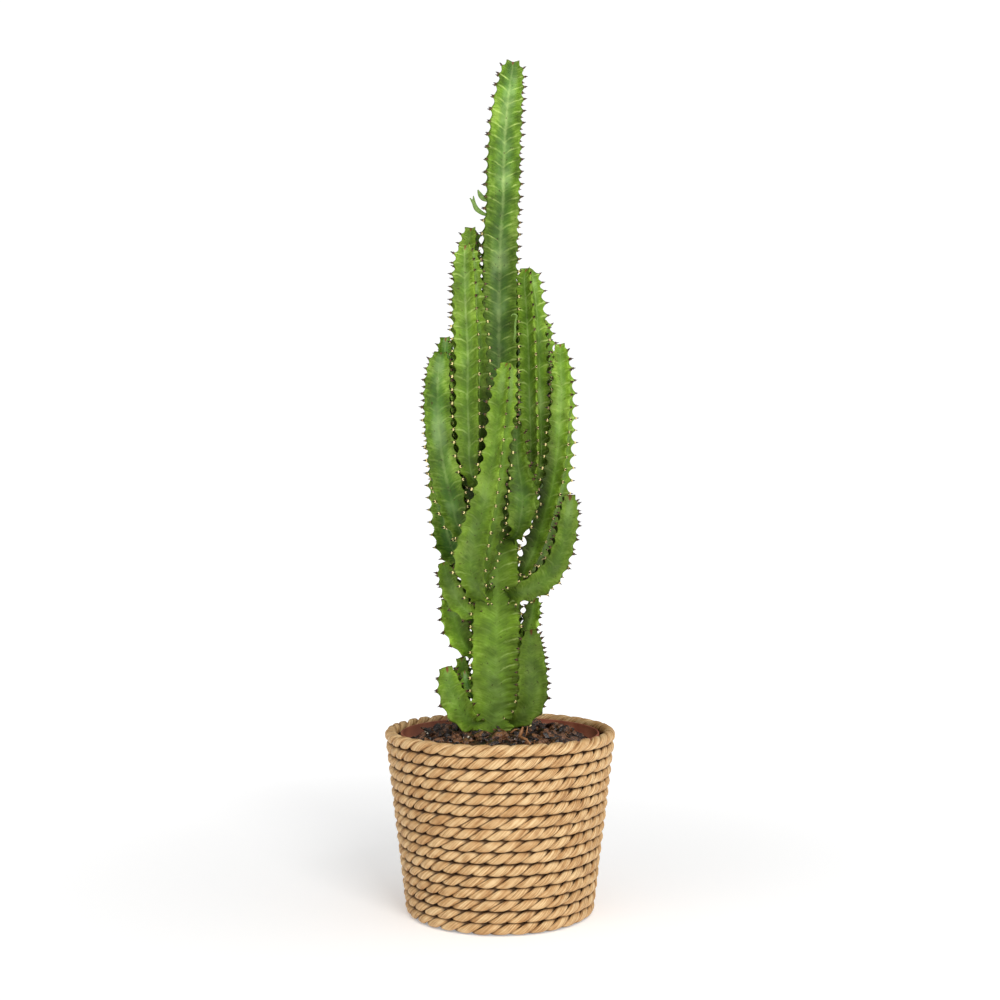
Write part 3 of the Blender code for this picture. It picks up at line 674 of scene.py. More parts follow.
def stem_piece(name, stem, others, seed, finish):
    """A stem's fine mesh, with its pattern's places as UV, and its colour, age and painted shade."""
    old = name == "trunk"
    count = max(LEAST_RINGS, round(stem.length / RING_STEP))
    s = np.linspace(0, stem.length - TIP_GAP, count)
    columns = []
    pattern = []
    last = len(ACROSS) - 1
    for rib in range(RIBS):
        rows, phases = half_face(stem, s, rib, 1, old)
        back_rows, back_phases = half_face(stem, s, rib + 1, -1, old)
        columns.extend(rows)
        columns.extend(back_rows[-2:0:-1])
        for k in range(last):
            pattern.append((phases[k], phases[k + 1], ACROSS[k], ACROSS[k + 1]))
        for k in range(last, 0, -1):
            pattern.append((back_phases[k], back_phases[k - 1], ACROSS[k], ACROSS[k - 1]))
    columns = np.array(columns)
    wide = len(columns)
    starts = np.random.default_rng(seed).uniform(0, 6.28, len(SWELLINGS))
    swelling = np.ones(count)
    for (share, length), start in zip(SWELLINGS, starts):
        swelling += share * np.sin(s / length + start)
    centre = stem.spread(s, stem.centres)
    points = centre[None] + (columns - centre[None]) * swelling[None, :, None]
    coarse = np.arange(0, count, SHADE_RINGS)
    # Painted shade from the close neighbours, thinned on the stems listed in SHADE_SHARES
    sky = open_sky(centre[coarse], points.transpose(1, 0, 2)[coarse], others)
    sky = lerp(1, sky, SHADE_SHARES.get(name, 1.0))
    sky = np.stack([np.interp(np.arange(count), coarse, sky[:, c]) for c in range(wide)], axis=1)
    verts = np.vstack([points.transpose(1, 0, 2).reshape(-1, 3), stem.centres[-1], stem.centres[0]])
    faces = ring_faces(count, wide)
    uvs = []
    for i in range(count - 1):
        for a, b, u, v in pattern:
            uvs.extend(((a[i], u), (b[i], v), (b[i + 1], v), (a[i + 1], u)))
    end = (count - 1) * wide
    for c, (a, b, u, v) in enumerate(pattern):
        d = (c + 1) % wide
        faces.append((end + c, end + d, len(verts) - 2))
        uvs.extend(((a[-1], u), (b[-1], v), (b[-1], 1.0)))
        faces.append((d, c, len(verts) - 1))
        uvs.extend(((b[0], v), (a[0], u), (a[0], 1.0)))
    piece = mesh_piece(name + "_skin", verts, faces, finish)
    layer = piece.data.uv_layers.new(name="ribs")
    layer.data.foreach_set("uv", np.array(uvs, dtype=np.float32).ravel())
    data = {key: np.full(len(verts), value) for key, value in zip(SKIN_VALUES, STEMS[name][1])}
    if old:
        age_trunk(data, verts[:, 2], count, wide)
    data["to_tip"] = np.concatenate([np.repeat(stem.length - s, wide), [0.0, stem.length]])
    data["open_sky"] = np.concatenate([sky.ravel(), END_SKY])
    for key, values in data.items():
        piece.data.attributes.new(key, "FLOAT", "POINT").data.foreach_set("value", values)
    return piece


def age_trunk(data, z, count, wide):
    """Makes the trunk's foot warm and plain, with pale lines kept on its folds as partly painted
    highlights, its middle darker with painted shade between the arms, and its top light.
    """
    upper = smoothstep(*OLD_SKIN_Z, z)
    folded = np.zeros((count, wide))
    folded[:, :len(ACROSS)] = 1
    folded[:, 2 - len(ACROSS):] = 1
    folded = np.append(folded.ravel(), [0, 0])
    data["warmth"] = lerp(LOW_TRUNK_WARMTH, data["warmth"], upper)
    # Pale lines kept on the folded faces, partly the skin's own and partly painted highlights on the
    # folds
    data["lined"] *= lerp(LOW_TRUNK_PATTERN + LOW_TRUNK_FOLD_LINES_AND_HIGHLIGHTS * folded, 1, upper)
    data["banded"] *= lerp(LOW_TRUNK_PATTERN, 1, upper)
    # The middle is darkened with painted shade between the arms
    light = lerp(MIDDLE_TRUNK_PAINTED_SHADE, data["light"] * UPPER_TRUNK_LIGHT, smoothstep(*UPPER_TRUNK_Z, z))
    data["light"] = lerp(LOW_TRUNK_LIGHT, light, upper)


def spine_points(stems):
    """A point at each tooth, with the outward and sideways directions, size and youth of its spines."""
    places = []
    data = {"out": [], "side": [], "size": [], "young": []}
    for name, stem in stems.items():
        others = [other for label, other in stems.items() if label != name]
        for rib in range(RIBS):
            s = stem.teeth(rib)
            centres, tangents, out, across = stem.ribs(s, rib)
            reach = stem.radius(s) + stem.tooth_rise(s, rib) - SPINE_SUNK
            lift = np.maximum(0, stem.tooth_rise(s, rib)) * stem.lean(s)
            points = centres + out * reach[:, None] + tangents * lift[:, None]
            for i, point in enumerate(points):
                if any(np.min(np.linalg.norm(o.centres - point, axis=1) - o.radii * SPINE_CLEARANCE) < 0
                       for o in others):
                    continue
                places.append(point)
                data["out"].append(out[i] + tangents[i] * (SPINE_RISE + stem.lean(s[i])))
                data["side"].append(across[i])
                data["size"].append(min(1.0, stem.radius(s[i:i + 1])[0] / SMALL_STEM_RADIUS))
                old_length = TRUNK_OLD_LENGTH if name == "trunk" else OLD_LENGTH
                data["young"].append(1 - smoothstep(YOUNG_LENGTH, old_length, stem.length - s[i]))
    return places, data


def spine_tree(finish):
    """A pair of spines on a small pad, put on each point and turned to its rib."""
    tree, given = node_group("spine_pairs", Length="Float", Radius="Float", Spread="Float", Pad="Float")
    cone = put(tree, "GeometryNodeMeshCone", {
        "Vertices": SPINE_SIDES, "Radius Top": SPINE_TIP_RADIUS, "Radius Bottom": given["Radius"],
        "Depth": given["Length"]})
    height = put(tree, "ShaderNodeSeparateXYZ", {0: put(tree, "GeometryNodeInputPosition").outputs[0]})
    share = calc("DIVIDE", height.outputs["Z"], given["Length"])
    spine = store(cone.outputs["Mesh"], "sharp", share)
    pair = put(tree, "GeometryNodeJoinGeometry")
    for side in (1.0, -1.0):
        turn = vector(tree, 0.0, product(given["Spread"], side))
        fill(pair, {0: moved(spine, Rotation=turn)})
    ball = put(tree, "GeometryNodeMeshUVSphere", {"Segments": 6, "Rings": 4, "Radius": given["Pad"]})
    flat = moved(ball.outputs[0], Scale=PAD_SHAPE)
    fill(pair, {0: store(flat, "sharp", 0.0)})
    turned = put(tree, "FunctionNodeAxesToRotation", {
        0: named(tree, "out", "FLOAT_VECTOR"), 1: named(tree, "side", "FLOAT_VECTOR")},
        primary_axis="Z", secondary_axis="X")
    low, high = SPINE_SIZES
    uneven = put(tree, "FunctionNodeRandomValue", {2: low, 3: high, "Seed": 4}, data_type="FLOAT")
    placed = put(tree, "GeometryNodeInstanceOnPoints", {
        "Points": given["Geometry"], "Instance": pair.outputs[0], "Rotation": turned.outputs[0],
        "Scale": product(named(tree, "size"), uneven.outputs[1])})
    return close_tree(placed.outputs[0], finish)


def rope_tree(finish):
    """Two-ply rope rings: each point carries its ring's radius, height, twist and start."""
    tree, given = node_group("twisted_rope_rows", Wide="Float", Thin="Float", Offset="Float",
                             Steps="Int", Unevenness="Float")
    ring = put(tree, "GeometryNodeCurvePrimitiveCircle", {"Resolution": given["Steps"], "Radius": 1.0})
    placed = put(tree, "GeometryNodeInstanceOnPoints", {
        "Points": given["Geometry"], "Instance": ring.outputs[0]})
    rings = put(tree, "GeometryNodeRealizeInstances", {0: placed.outputs[0]}).outputs[0]
    radius = named(tree, "ring_radius")
    share = put(tree, "GeometryNodeSplineParameter").outputs["Factor"]
    angle = product(share, 2 * math.pi)
    twist = calc("MULTIPLY_ADD", angle, named(tree, "twists"), named(tree, "start"))
    away = calc("MULTIPLY_ADD", calc("COSINE", twist), given["Offset"], radius)
    up = calc("MULTIPLY_ADD", calc("SINE", twist), given["Offset"], named(tree, "ring_z"))
    x = product(calc("COSINE", angle), away)
    y = product(calc("SINE", angle), away)
    place = vector(tree, x, y, up)
    shift = jostle(place, 60.0, 1.0, given["Unevenness"])
    laid = put(tree, "GeometryNodeSetPosition", {"Geometry": rings, "Position": place, "Offset": shift})
    stored = store(laid.outputs[0], "along", product(angle, radius))
    girth = remap(mottle(place, 110.0, 0.0), (0.3, 0.7), PLY_GIRTHS)
    sized = put(tree, "GeometryNodeSetCurveRadius", {"Curve": stored, "Radius": girth})
    # Each ply is pressed flat, its thin side towards the middle of the rope
    level = put(tree, "GeometryNodeSetCurveNormal", {"Curve": sized.outputs[0]}, mode="Z_UP")
    turned = put(tree, "GeometryNodeSetCurveTilt", {
        "Curve": level.outputs[0], "Tilt": product(twist, -1.0)})
    outline = put(tree, "GeometryNodeCurvePrimitiveCircle", {"Resolution": PLY_SIDES, "Radius": 1.0})
    oval = moved(outline.outputs[0], Scale=vector(tree, given["Thin"], given["Wide"], 1.0))
    position = put(tree, "GeometryNodeInputPosition").outputs[0]
    ply = put(tree, "GeometryNodeCurveToMesh", {
        "Curve": turned.outputs[0],
        "Profile Curve": store(oval, "section", position, "FLOAT_VECTOR")})
    smooth = put(tree, "GeometryNodeSetShadeSmooth", {0: ply.outputs[0]})
    return close_tree(smooth.outputs[0], finish)


def rope_rows(rings, seed):
    """Two plies for each (radius, height) ring, as points and attributes for the rope tree."""
    rng = random.Random(seed)
    data = {"ring_radius": [], "ring_z": [], "twists": [], "start": []}
    for radius, z in rings:
        start = rng.uniform(0, math.pi)
        length = TWIST_LENGTH * rng.uniform(1 - TWIST_SPREAD, 1 + TWIST_SPREAD)
        for ply in range(2):
            data["ring_radius"].append(radius)
            data["ring_z"].append(z)
            data["twists"].append(max(1, round(2 * math.pi * radius / length)))
            data["start"].append(start + ply * math.pi)
    return [(0.0, 0.0, 0.0)] * len(data["start"]), data


def lathe(name, profile, segments, finish):
    """A closed body turned round the upright axis from (radius, z) corners, outside first."""
    verts = [corner for radius, z in profile for corner in circle(radius, z, segments)]
    faces = ring_faces(len(profile), segments) + end_faces(len(verts), segments)
    return mesh_piece(name, verts, faces, finish)


def soil_height(x, y):
    """Height of the potting mix: mound, rise at the back, heap in front, crumbs and lumps."""
    r = min(1.0, math.hypot(x, y) / SOIL_REACH)
    z = SOIL_EDGE_Z + SOIL_MOUND * (1 - r ** 3) + SOIL_BACK_RISE * y / SOIL_REACH
    heap = math.hypot(x - SOIL_HEAP_PLACE[0], y - SOIL_HEAP_PLACE[1]) / SOIL_HEAP_RADIUS
    z += SOIL_HEAP * math.exp(-heap * heap)
    place = Vector((x, y, 0))
    # Lumps about 9 mm, 4 mm and 2 mm apart
    z += 1.6 * MM * noise.noise(place * 110)
    z += 1.3 * MM * abs(noise.noise(place * 260 + Vector((7, 3, 1))))
    z += 0.8 * MM * noise.noise(place * 620)
    return z


def soil_piece(finish):
    """The potting mix, finely lumped on top and plain where the pot hides it."""
    verts = circle(POT_FOOT_RADIUS - POT_WALL - SOIL_WALL_GAP, SOIL_FOOT_Z, SOIL_SEGMENTS)
    for row in range(SOIL_RINGS):
        for x, y, _ in circle(SOIL_REACH * (1 - row / SOIL_RINGS), 0, SOIL_SEGMENTS):
            verts.append((x, y, soil_height(x, y)))
    faces = ring_faces(SOIL_RINGS + 1, SOIL_SEGMENTS)
    centre = len(verts)
    inner = centre - SOIL_SEGMENTS
    verts.append((0, 0, soil_height(0, 0)))
    faces.extend((inner + i, inner + (i + 1) % SOIL_SEGMENTS, centre) for i in range(SOIL_SEGMENTS))
    faces.append(tuple(reversed(range(SOIL_SEGMENTS))))
    return mesh_piece("soil_surface", verts, faces, finish)


def crumb_tree(finish):
    """Bark crumbs and flakes: three lumpy forms put on the points, each turned its own way."""
    tree, given = node_group("bark_crumbs", Lumpiness="Float")
    forms = put(tree, "GeometryNodeGeometryToInstance")
    for index, stretch in enumerate(CRUMB_SHAPES):
        ball = put(tree, "GeometryNodeMeshIcoSphere", {"Radius": 1.0, "Subdivisions": 2})
        place = put(tree, "GeometryNodeInputPosition").outputs[0]
        apart = vector_calc("ADD", place, (index * 9.1, 3.7, 1.3)).outputs[0]
        push = jostle(apart, 1.3, 2.0, given["Lumpiness"])
        lump = put(tree, "GeometryNodeSetPosition", {"Geometry": ball.outputs[0], "Offset": push})
        fill(forms, {0: moved(lump.outputs[0], Scale=stretch)})
    last = len(CRUMB_SHAPES) - 1
    pick = put(tree, "FunctionNodeRandomValue", {4: 0, 5: last, "Seed": 8}, data_type="INT")
    placed = put(tree, "GeometryNodeInstanceOnPoints", {
        "Points": given["Geometry"], "Instance": forms.outputs[0], "Pick Instance": True,
        "Instance Index": pick.outputs[2], "Rotation": named(tree, "turn", "FLOAT_VECTOR"),
        "Scale": named(tree, "size")})
    return close_tree(placed.outputs[0], finish)


def crumbs(count, seed, smallest, largest, lift):
    """Random places on the soil clear of the trunk and the pot's wall, with a turn and a size each."""
    rng = random.Random(seed)
    places = []
    turns = []
    sizes = []
    while len(places) < count:
        a = rng.uniform(0, 2 * math.pi)
        r = (SOIL_REACH - largest) * math.sqrt(rng.uniform(0, 1))
        x, y = r * math.cos(a), r * math.sin(a)
        if math.hypot(x - TRUNK_FOOT_X, y) < TRUNK_FOOT_CLEARANCE:
            continue
        size = lerp(smallest, largest, rng.uniform(0, 1) ** CRUMB_SMALLNESS)
        places.append((x, y, soil_height(x, y) + size * lift))
        turns.append((rng.gauss(0, CRUMB_TILT), rng.gauss(0, CRUMB_TILT), rng.uniform(0, 6.28)))
        sizes.append(size)
    return places, {"turn": turns, "size": sizes}


def tube(path, radii, sides):
    """Corners and faces of a closed tube along the path, each ring with a wide and a thin radius."""
    path = np.array(path, dtype=float)
    verts = []
    for centre, tangent, (wide, thin) in zip(path, np.gradient(path, axis=0), radii):
        along = tangent / np.linalg.norm(tangent)
        side = np.cross(along, (0.0, -1.0, 0.0))
        side /= np.linalg.norm(side)
        normal = np.cross(along, side)
        for cosine, sine, _ in circle(1, 0, sides):
            verts.append(centre + side * wide * cosine + normal * thin * sine)
    return verts, ring_faces(len(path), sides) + end_faces(len(verts), sides)


def joined_tubes(name, tubes, finish):
    verts = []
    faces = []
    for part_verts, part_faces in tubes:
        start = len(verts)
        verts.extend(part_verts)
        faces.extend(tuple(start + i for i in face) for face in part_faces)
    return mesh_piece(name, verts, faces, finish)


def new_finish(name):
    """A material, its shader, and the place on the piece that its patterns start from."""
    mat = bpy.data.materials.new(name)
    mat.use_nodes = True
    tree = mat.node_tree
    return mat, tree.nodes["Principled BSDF"], put(tree, "ShaderNodeTexCoord").outputs["Object"]


def stem_skin():
    """Waxy succulent skin: marbled green, yellower at the ribs and bluer towards the hollows. A pale
    band runs down each hollow, pale lines run from it to the brown teeth, and the tip is scarred."""
    mat, skin, place = new_finish("waxed_succulent_skin")
    tree = mat.node_tree
    uv = put(tree, "ShaderNodeUVMap", uv_map="ribs").outputs[0]
    phase, across, _ = put(tree, "ShaderNodeSeparateXYZ", {0: uv}).outputs
    own = {name: carried(tree, name) for name in (*SKIN_VALUES, "to_tip", "open_sky")}
    blotch = mottle(place, 42.0, 5.0, 0.62)
    ragged = mottle(place, 170.0, 3.0)
    # Fine streaks about 1.5 mm apart that follow the lines out over each face
    flow = vector(tree, product(phase, 7.0), product(across, 2.2), product(own["warmth"], 40.0))
    streak = mottle(flow, 1.0, 3.0, 0.6)
    marbling = calc("MULTIPLY_ADD", blotch, 0.65, product(streak, 0.35))
    green = tint(marbling, (0.4, "#304E10"), (0.5, "#54761A"), (0.6, "#7F9C40"))
    warm = blend(product(own["warmth"], 0.45), green, linear("#7C9A26"))
    # Bluer and darker inner part of each face, yellower rim
    blue = remap(own["warmth"], (0.0, 1.0), (0.85, 0.2))
    inner = remap(across, (0.3, 0.8), (0.0, blue), smooth=True)
    bloom = mottle(place, 28.0, 3.0, 0.6)
    cool = blend(inner, warm, tint(bloom, (0.4, "#3D6322"), (0.52, "#4F7534"), (0.64, "#84A266")))
    rimmed = blend(remap(across, (0.05, 0.3), (0.12, 0.0), smooth=True), cool, linear("#8FAE3C"))
    # Pale band down the middle of the face, ragged and blotchy
    band = remap(calc("MULTIPLY_ADD", ragged, 0.3, across), (0.99, 1.17), (0.0, 1.0), smooth=True)
    band = product(band, remap(blotch, (0.35, 0.65), (0.15, 0.72)), own["banded"])
    banded = blend(band, rimmed, linear("#9DB56C"))
    # Pale lines from the band to the teeth, each one broken and faded its own way
    waver = calc("MULTIPLY_ADD", ragged, 0.3, phase)
    part = calc("FRACT", calc("ADD", waver, 0.35))
    far = calc("ABSOLUTE", calc("SUBTRACT", part, 0.5))
    line = remap(far, (0.02, 0.1), (1.0, 0.0), smooth=True)
    broken = remap(mottle(place, 90.0, 2.0), (0.4, 0.62), (0.1, 0.75))
    inward = remap(across, (0.5, 0.9), (1.0, 0.25))
    lined = product(broken, own["lined"], inward, line)
    veined = blend(lined, banded, linear("#B4CC70"))
    # Brown at each tooth, and a few corky specks near the ribs
    edge = remap(across, (0.04, 0.13), (1.0, 0.0))
    tooth = remap(calc("COSINE", product(phase, 2 * math.pi)), (0.66, 0.92), (0.0, 0.9))
    speck = remap(mottle(place, 420.0, 2.0), (0.66, 0.72), (0.0, 0.6))
    edged = blend(calc("MAXIMUM", product(edge, tooth), speck), veined, linear("#3A2210"))
    # Red-brown scar at the growing tip
    uneven_tip = calc("MULTIPLY_ADD", blotch, -0.012, own["to_tip"])
    scar_place = calc("SUBTRACT", uneven_tip, remap(across, (0.6, 1.0), (0.0, 0.005)))
    scar = remap(scar_place, (-0.0075, -0.0055), (0.85, 0.0))
    scarred = blend(scar, edged, linear("#7A3E28"))
    # Lighter towards the young end, darker with painted shade where stems stand close
    young = remap(own["to_tip"], (0.02, 0.18), (1.25, 0.9), smooth=True)
    worn = remap(mottle(place, 75.0, 2.0), (0.34, 0.66), (0.76, 1.24))
    # Painted shade between close stems darkens the colour
    painted_shade = remap(own["open_sky"], (0.16, 0.5), (0.14, 1.0))
    fill(skin, {
        "Base Color": scaled(scarred, product(young, worn, own["light"], painted_shade)),
        "Roughness": remap(blotch, (0.0, 1.0), (0.4, 0.62)), "Specular IOR Level": 0.16,
        "Normal": bump(calc("MULTIPLY_ADD", lined, 0.8, streak), 0.5, 0.6 * MM)})
    return mat


def spine_horn():
    """Dry horny spines: a tan pad, brown at the foot and nearly black at the point when young."""
    mat, horn, place = new_finish("dry_spine_horn")
    sharp = carried(mat.node_tree, "sharp")
    young = carried(mat.node_tree, "young")
    fresh = tint(sharp, (0.0, "#5E3E22"), (0.1, "#2E170C"), (0.6, "#1A0D08"))
    old = tint(sharp, (0.0, "#F2DF98"), (0.08, "#7A4C26"), (0.4, "#2A160C"))
    mixed = calc("MULTIPLY_ADD", mottle(place, 140.0, 0.0), 0.9, young)
    share = remap(mixed, (0.6, 1.1), (0.0, 1.0))
    fill(horn, {"Base Color": blend(share, old, fresh), "Roughness": 0.5})
    return mat


def hyacinth_rope():
    """Dried water hyacinth, twisted by hand: straw to brown, fine fibre streaks along each ply,
    darker with painted shade where two plies meet."""
    mat, fibre, place = new_finish("twisted_water_hyacinth")
    tree = mat.node_tree
    section = put(tree, "ShaderNodeAttribute", attribute_name="section").outputs["Vector"]
    thin, wide, _ = put(tree, "ShaderNodeSeparateXYZ", {0: section}).outputs
    # Fibres about 1 mm wide run along the ply, and each is drawn over 45 mm of its length
    drawn = calc("MULTIPLY_ADD", carried(tree, "along"), 0.02, carried(tree, "start"))
    streak = mottle(vector(tree, thin, wide, drawn), 1100.0, 2.5, 0.65)
    broad = mottle(place, 95.0, 2.0)
    mixed = calc("MULTIPLY_ADD", streak, 0.7, product(broad, 0.3))
    straw = tint(mixed, (0.33, "#8A5B2C"), (0.45, "#C4965F"), (0.6, "#ECCB97"))
    # Depth of this spot under the basket's cone: painted shade darkens the crevices, less of it at the
    # rim
    x, y, height = put(tree, "ShaderNodeSeparateXYZ", {0: place}).outputs
    reach = vector_calc("LENGTH", vector(tree, x, y)).outputs["Value"]
    slope = (RIM_RADIUS - FOOT_RADIUS) / BASKET_HEIGHT
    sunk = calc("SUBTRACT", calc("MULTIPLY_ADD", height, slope, FOOT_RADIUS), reach)
    dark = remap(sunk, (0.002, 0.0039), (0.0, 0.9))
    rim = remap(height, (BASKET_HEIGHT - 11 * MM, BASKET_HEIGHT - 7 * MM), (1.0, 0.15))
    shaded = blend(product(dark, rim), straw, linear("#4A2C14"))
    fill(fibre, {"Base Color": shaded, "Roughness": 0.6, "Normal": bump(streak, 0.8, MM)})
    return mat


def basket_core():
    """Fibre of the rope rows' inner side, coloured dark as painted shade."""
    mat, fibre, place = new_finish("painted_shade_basket_core")
    shade = tint(mottle(place, 300.0, 3.0), (0.3, "#2E1C0D"), (0.7, "#4F3319"))
    fill(fibre, {"Base Color": shade, "Roughness": 0.85})
    return mat


def pot_plastic():
    """Thin moulded polypropylene in terracotta brown, satin, with a film of dust."""
    mat, plastic, place = new_finish("moulded_brown_polypropylene")
    dust = mottle(place, 60.0, 4.0)
    shade = tint(dust, (0.35, "#8E4A35"), (0.7, "#B06A50"))
    fill(plastic, {"Base Color": shade, "Roughness": remap(dust, (0.0, 1.0), (0.38, 0.62))})
    return mat


def potting_mix(name, dark, middle, light, roughness):
    """Moist peat and bark: crumbs of three browns, the wet ones glossier."""
    mat, mix, place = new_finish(name)
    tree = mat.node_tree
    crumb = put(tree, "ShaderNodeTexVoronoi", {"Vector": place, "Scale": 210.0}).outputs["Color"]
    value = put(tree, "ShaderNodeSeparateColor", {0: crumb}).outputs[0]
    grain = mottle(place, 520.0, 4.0, 0.7)
    mixed = calc("MULTIPLY_ADD", value, 0.45, grain)
    fill(mix, {
        "Base Color": tint(mixed, (0.45, dark), (0.72, middle), (0.98, light)),
        "Roughness": remap(grain, (0.0, 1.0), (roughness - 0.2, roughness + 0.2)),
        "Normal": bump(grain, 0.7, 0.9 * MM), "Specular IOR Level": 0.6})
    return mat


def plain_finish(name, code, roughness):
    """One colour with a slight mottle, for small dry bits."""
    mat, shader, place = new_finish(name)
    inputs = {0: mottle(place, 400.0, 2.0), "A": linear(code), "B": linear(code)}
    shade = put(mat.node_tree, "ShaderNodeMix", inputs, data_type="RGBA", blend_type="MULTIPLY")
    fill(shader, {"Base Color": shade.outputs["Result"], "Roughness": roughness})
    return mat


def build_plant():
    skin = stem_skin()
    stems = {name: Stem(points, turn) for name, (turn, _, *points) in STEMS.items()}
    for seed, (name, stem) in enumerate(stems.items()):
        others = [other for label, other in stems.items() if label != name]
        settle(stem_piece(name, stem, others, seed, skin), "stem_skin", name)
    values = {"Length": SPINE_LENGTH, "Radius": SPINE_RADIUS, "Spread": SPINE_SPREAD, "Pad": PAD_RADIUS}
    settle(node_piece("spine_pairs", *spine_points(stems), spine_tree(spine_horn()), values), "stem_skin")
    leaves = []
    for points in YOUNG_LEAVES:
        path = smooth_path(points, steps=4)
        wide = np.maximum(LEAF_LEAST_HALF_WIDTH, path[:, 3])
        thin = np.clip(path[:, 3] * LEAF_FLATNESS, *LEAF_HALF_THICKNESS)
        leaves.append(tube(path[:, :3], zip(wide, thin), sides=10))
    leaf_skin = plain_finish("young_leaf_skin", "#809E44", roughness=0.45)
    settle(joined_tubes("young_leaves", leaves, leaf_skin), "stem_skin")


def build_basket():
    reach = PLY_THIN + PLY_OFFSET
    rng = random.Random(4)
    rings = []
    for row in range(ROPE_ROWS):
        z = lerp(reach + FIRST_ROW_LIFT, BASKET_HEIGHT - reach - ROW_INSET, row / (ROPE_ROWS - 1))
        inner = 0 < row < ROPE_ROWS - 1
        z += rng.uniform(-ROW_WANDER, ROW_WANDER) * inner
        rings.append((wall_radius(z) - reach - ROW_INSET, z))
    values = {
        "Wide": PLY_WIDE, "Thin": PLY_THIN, "Offset": PLY_OFFSET, "Unevenness": PLY_WOBBLE,
        "Steps": ROW_STEPS}
    tree = rope_tree(hyacinth_rope())
    settle(node_piece("rope_rows", *rope_rows(rings, seed=5), tree, values), "rope", "basket")
    base_rings = []
    radius = FOOT_RADIUS - reach - BASE_PITCH
    while radius > SMALLEST_BASE_RING:
        base_rings.append((radius, reach + BASE_LIFT))
        radius -= BASE_PITCH
    values["Steps"] = BASE_STEPS
    settle(node_piece("rope_base", *rope_rows(base_rings, seed=6), tree, values), "rope")
    # The wall of the rope's inner side, dark with painted shade, that shows between the rows, as (radius,
    # z) corners
    wall = (
        (FOOT_RADIUS - 6 * MM, 5 * MM), (RIM_RADIUS - 6.4 * MM, BASKET_HEIGHT - 6 * MM),
        (RIM_RADIUS - 9.5 * MM, BASKET_HEIGHT - 6 * MM), (FOOT_RADIUS - 9.5 * MM, 8 * MM))
    settle(lathe("rope_core", wall, segments=120, finish=basket_core()), "rope")


def build_pot():
    lip = POT_TOP - POT_LIP_HEIGHT
    r = POT_RIM_RADIUS
    w = POT_WALL
    profile = (
        (POT_FOOT_RADIUS, POT_FOOT_Z), (POT_NECK_RADIUS, lip), (r - 0.3 * MM, lip), (r, lip + 0.3 * MM),
        (r, POT_TOP - 0.6 * MM), (r - 0.2 * MM, POT_TOP - 0.2 * MM), (r - 0.6 * MM, POT_TOP),
        (r - w + 0.4 * MM, POT_TOP), (r - w + 0.1 * MM, POT_TOP - 0.2 * MM), (r - w, POT_TOP - 0.6 * MM),
        (r - w, lip + 1.5 * MM), (POT_NECK_RADIUS - w, lip), (POT_FOOT_RADIUS - w, POT_FOOT_Z + w))
    settle(lathe("nursery_pot_shell", profile, segments=160, finish=pot_plastic()), "pot_plastic",
           "nursery_pot")


def build_soil():
    peat = potting_mix("moist_peat_mix", "#090403", "#1E1009", "#5A3824", roughness=0.38)
    settle(soil_piece(peat), "potting_mix", "soil")
    bark = crumb_tree(potting_mix("pine_bark_crumbs", "#0A0503", "#29150C", "#8A5E3E", roughness=0.26))
    places, data = crumbs(count=620, seed=21, smallest=1.8 * MM, largest=9.0 * MM, lift=0.1)
    settle(node_piece("bark_crumbs", places, data, bark, {"Lumpiness": 0.9}), "potting_mix")
    grit = crumb_tree(plain_finish("white_perlite", "#E8E2D4", roughness=0.8))
    places, data = crumbs(count=70, seed=33, smallest=0.5 * MM, largest=1.3 * MM, lift=GRAIN_LIFT)
    for x, y, size in WHITE_GRAINS:
        places.append((x * MM, y * MM, soil_height(x * MM, y * MM) + size * MM * GRAIN_LIFT))
        data["turn"].append((0.3, 0.2, x))
        data["size"].append(size * MM)
    settle(node_piece("perlite_grains", places, data, grit, {"Lumpiness": 0.5}), "potting_mix")
    straws = []
    for half, *points in STRAWS:
        path = [(x * MM, y * MM, soil_height(x * MM, y * MM) + lift * MM) for x, y, lift in points]
        radii = [(half * MM, half * STRAW_FLATNESS * MM)] * (len(path) - 1)
        radii.append([half * share * MM for share in STRAW_END])
        straws.append(tube(path, radii, sides=6))
    straw = plain_finish("split_wood_straw", "#B98B5C", roughness=0.6)
    settle(joined_tubes("dry_straws", straws, straw), "potting_mix")


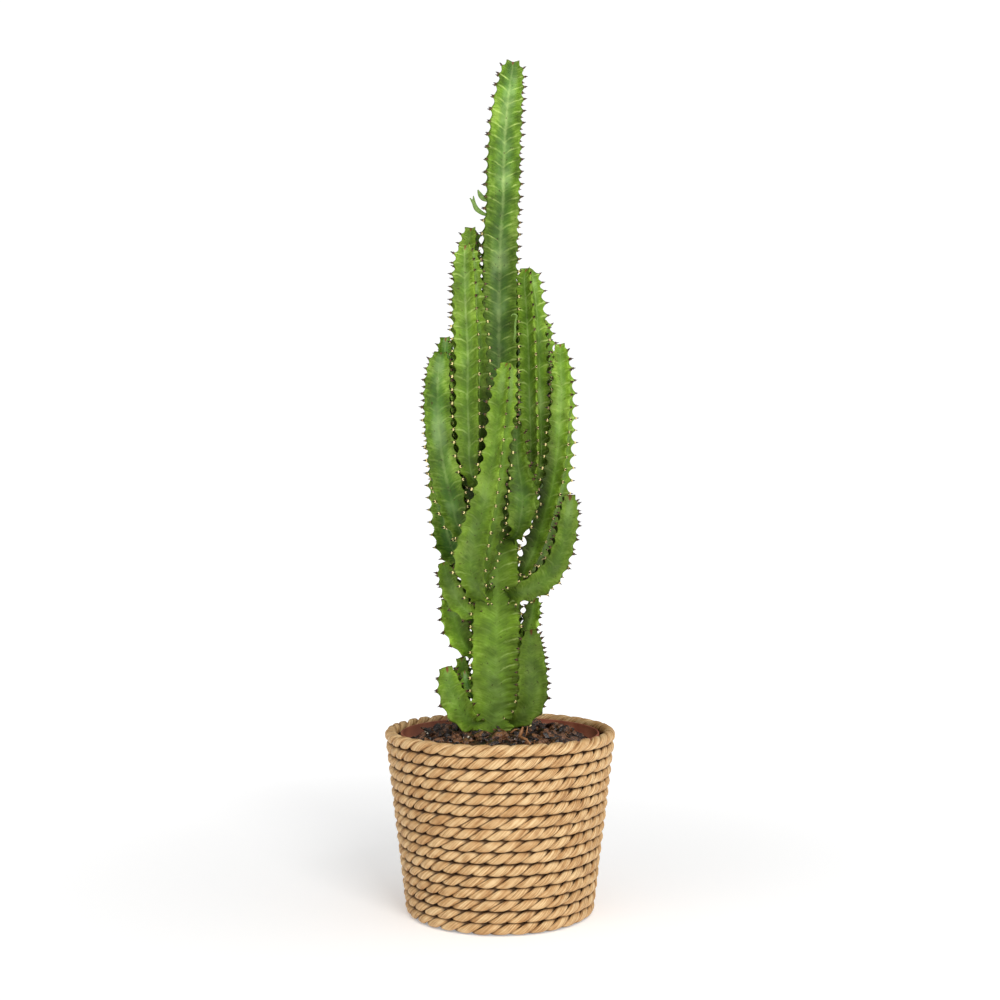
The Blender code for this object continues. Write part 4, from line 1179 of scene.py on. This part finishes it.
def build_stage():
    bpy.ops.mesh.primitive_plane_add(size=200)
    floor = bpy.context.object
    floor.name = "studio_floor"
    mat, shader, place = new_finish("matte_white_sweep")
    # The sweep glows a little more farther off, so that it runs into the backdrop without a line
    away = vector_calc("LENGTH", place).outputs["Value"]
    fill(shader, {
        "Base Color": linear("#F2F2F2"), "Roughness": 0.9, "Specular IOR Level": 0.0,
        "Emission Color": linear("#FFFFFF"),
        "Emission Strength": remap(away, (0.2, 1.2), (0.3, 0.64), smooth=True)})
    floor.data.materials.append(mat)
    scene = bpy.context.scene
    world = scene.world or bpy.data.worlds.new("studio")
    scene.world = world
    world.use_nodes = True
    tree = world.node_tree
    # Light comes mostly from above and in front, and the camera sees a plain white backdrop
    towards = put(tree, "ShaderNodeTexCoord").outputs["Generated"]
    aim = vector_calc("DOT_PRODUCT", towards, (0.28, -0.64, 0.7)).outputs["Value"]
    soft = remap(aim, (-0.35, 0.9), (0.06, 0.8), smooth=True)
    seen = put(tree, "ShaderNodeLightPath").outputs["Is Camera Ray"]
    strength = put(tree, "ShaderNodeMix", {0: seen, 2: soft, 3: 1.05}, data_type="FLOAT").outputs[0]
    fill(tree.nodes["Background"], {"Color": linear("#FFFFFF"), "Strength": strength})
    for name, spot, size, power in (
            ("key_softbox", (0.6, -1.65, 1.4), 0.8, 19), ("fill_softbox", (-1.4, -1.2, 0.9), 1.0, 2.5)):
        data = bpy.data.lights.new(name, "AREA")
        data.size = size
        data.energy = power
        lamp = bpy.data.objects.new(name, data)
        lamp.location = spot
        lamp.rotation_euler = (Vector(LAMP_AIM) - Vector(spot)).to_track_quat("-Z", "Y").to_euler()
        scene.collection.objects.link(lamp)
    scene.view_settings.view_transform = "Standard"
    data = bpy.data.cameras.new("photo_camera")
    data.sensor_width = SENSOR_WIDTH
    data.lens = LENS_TO_WIDTH * SENSOR_WIDTH
    camera = bpy.data.objects.new("photo_camera", data)
    camera.location = CAMERA_PLACE
    camera.rotation_euler = (math.pi / 2 + CAMERA_TILT, 0, 0)
    scene.collection.objects.link(camera)
    scene.camera = camera


build_basket()
build_pot()
build_soil()
build_plant()
build_stage()
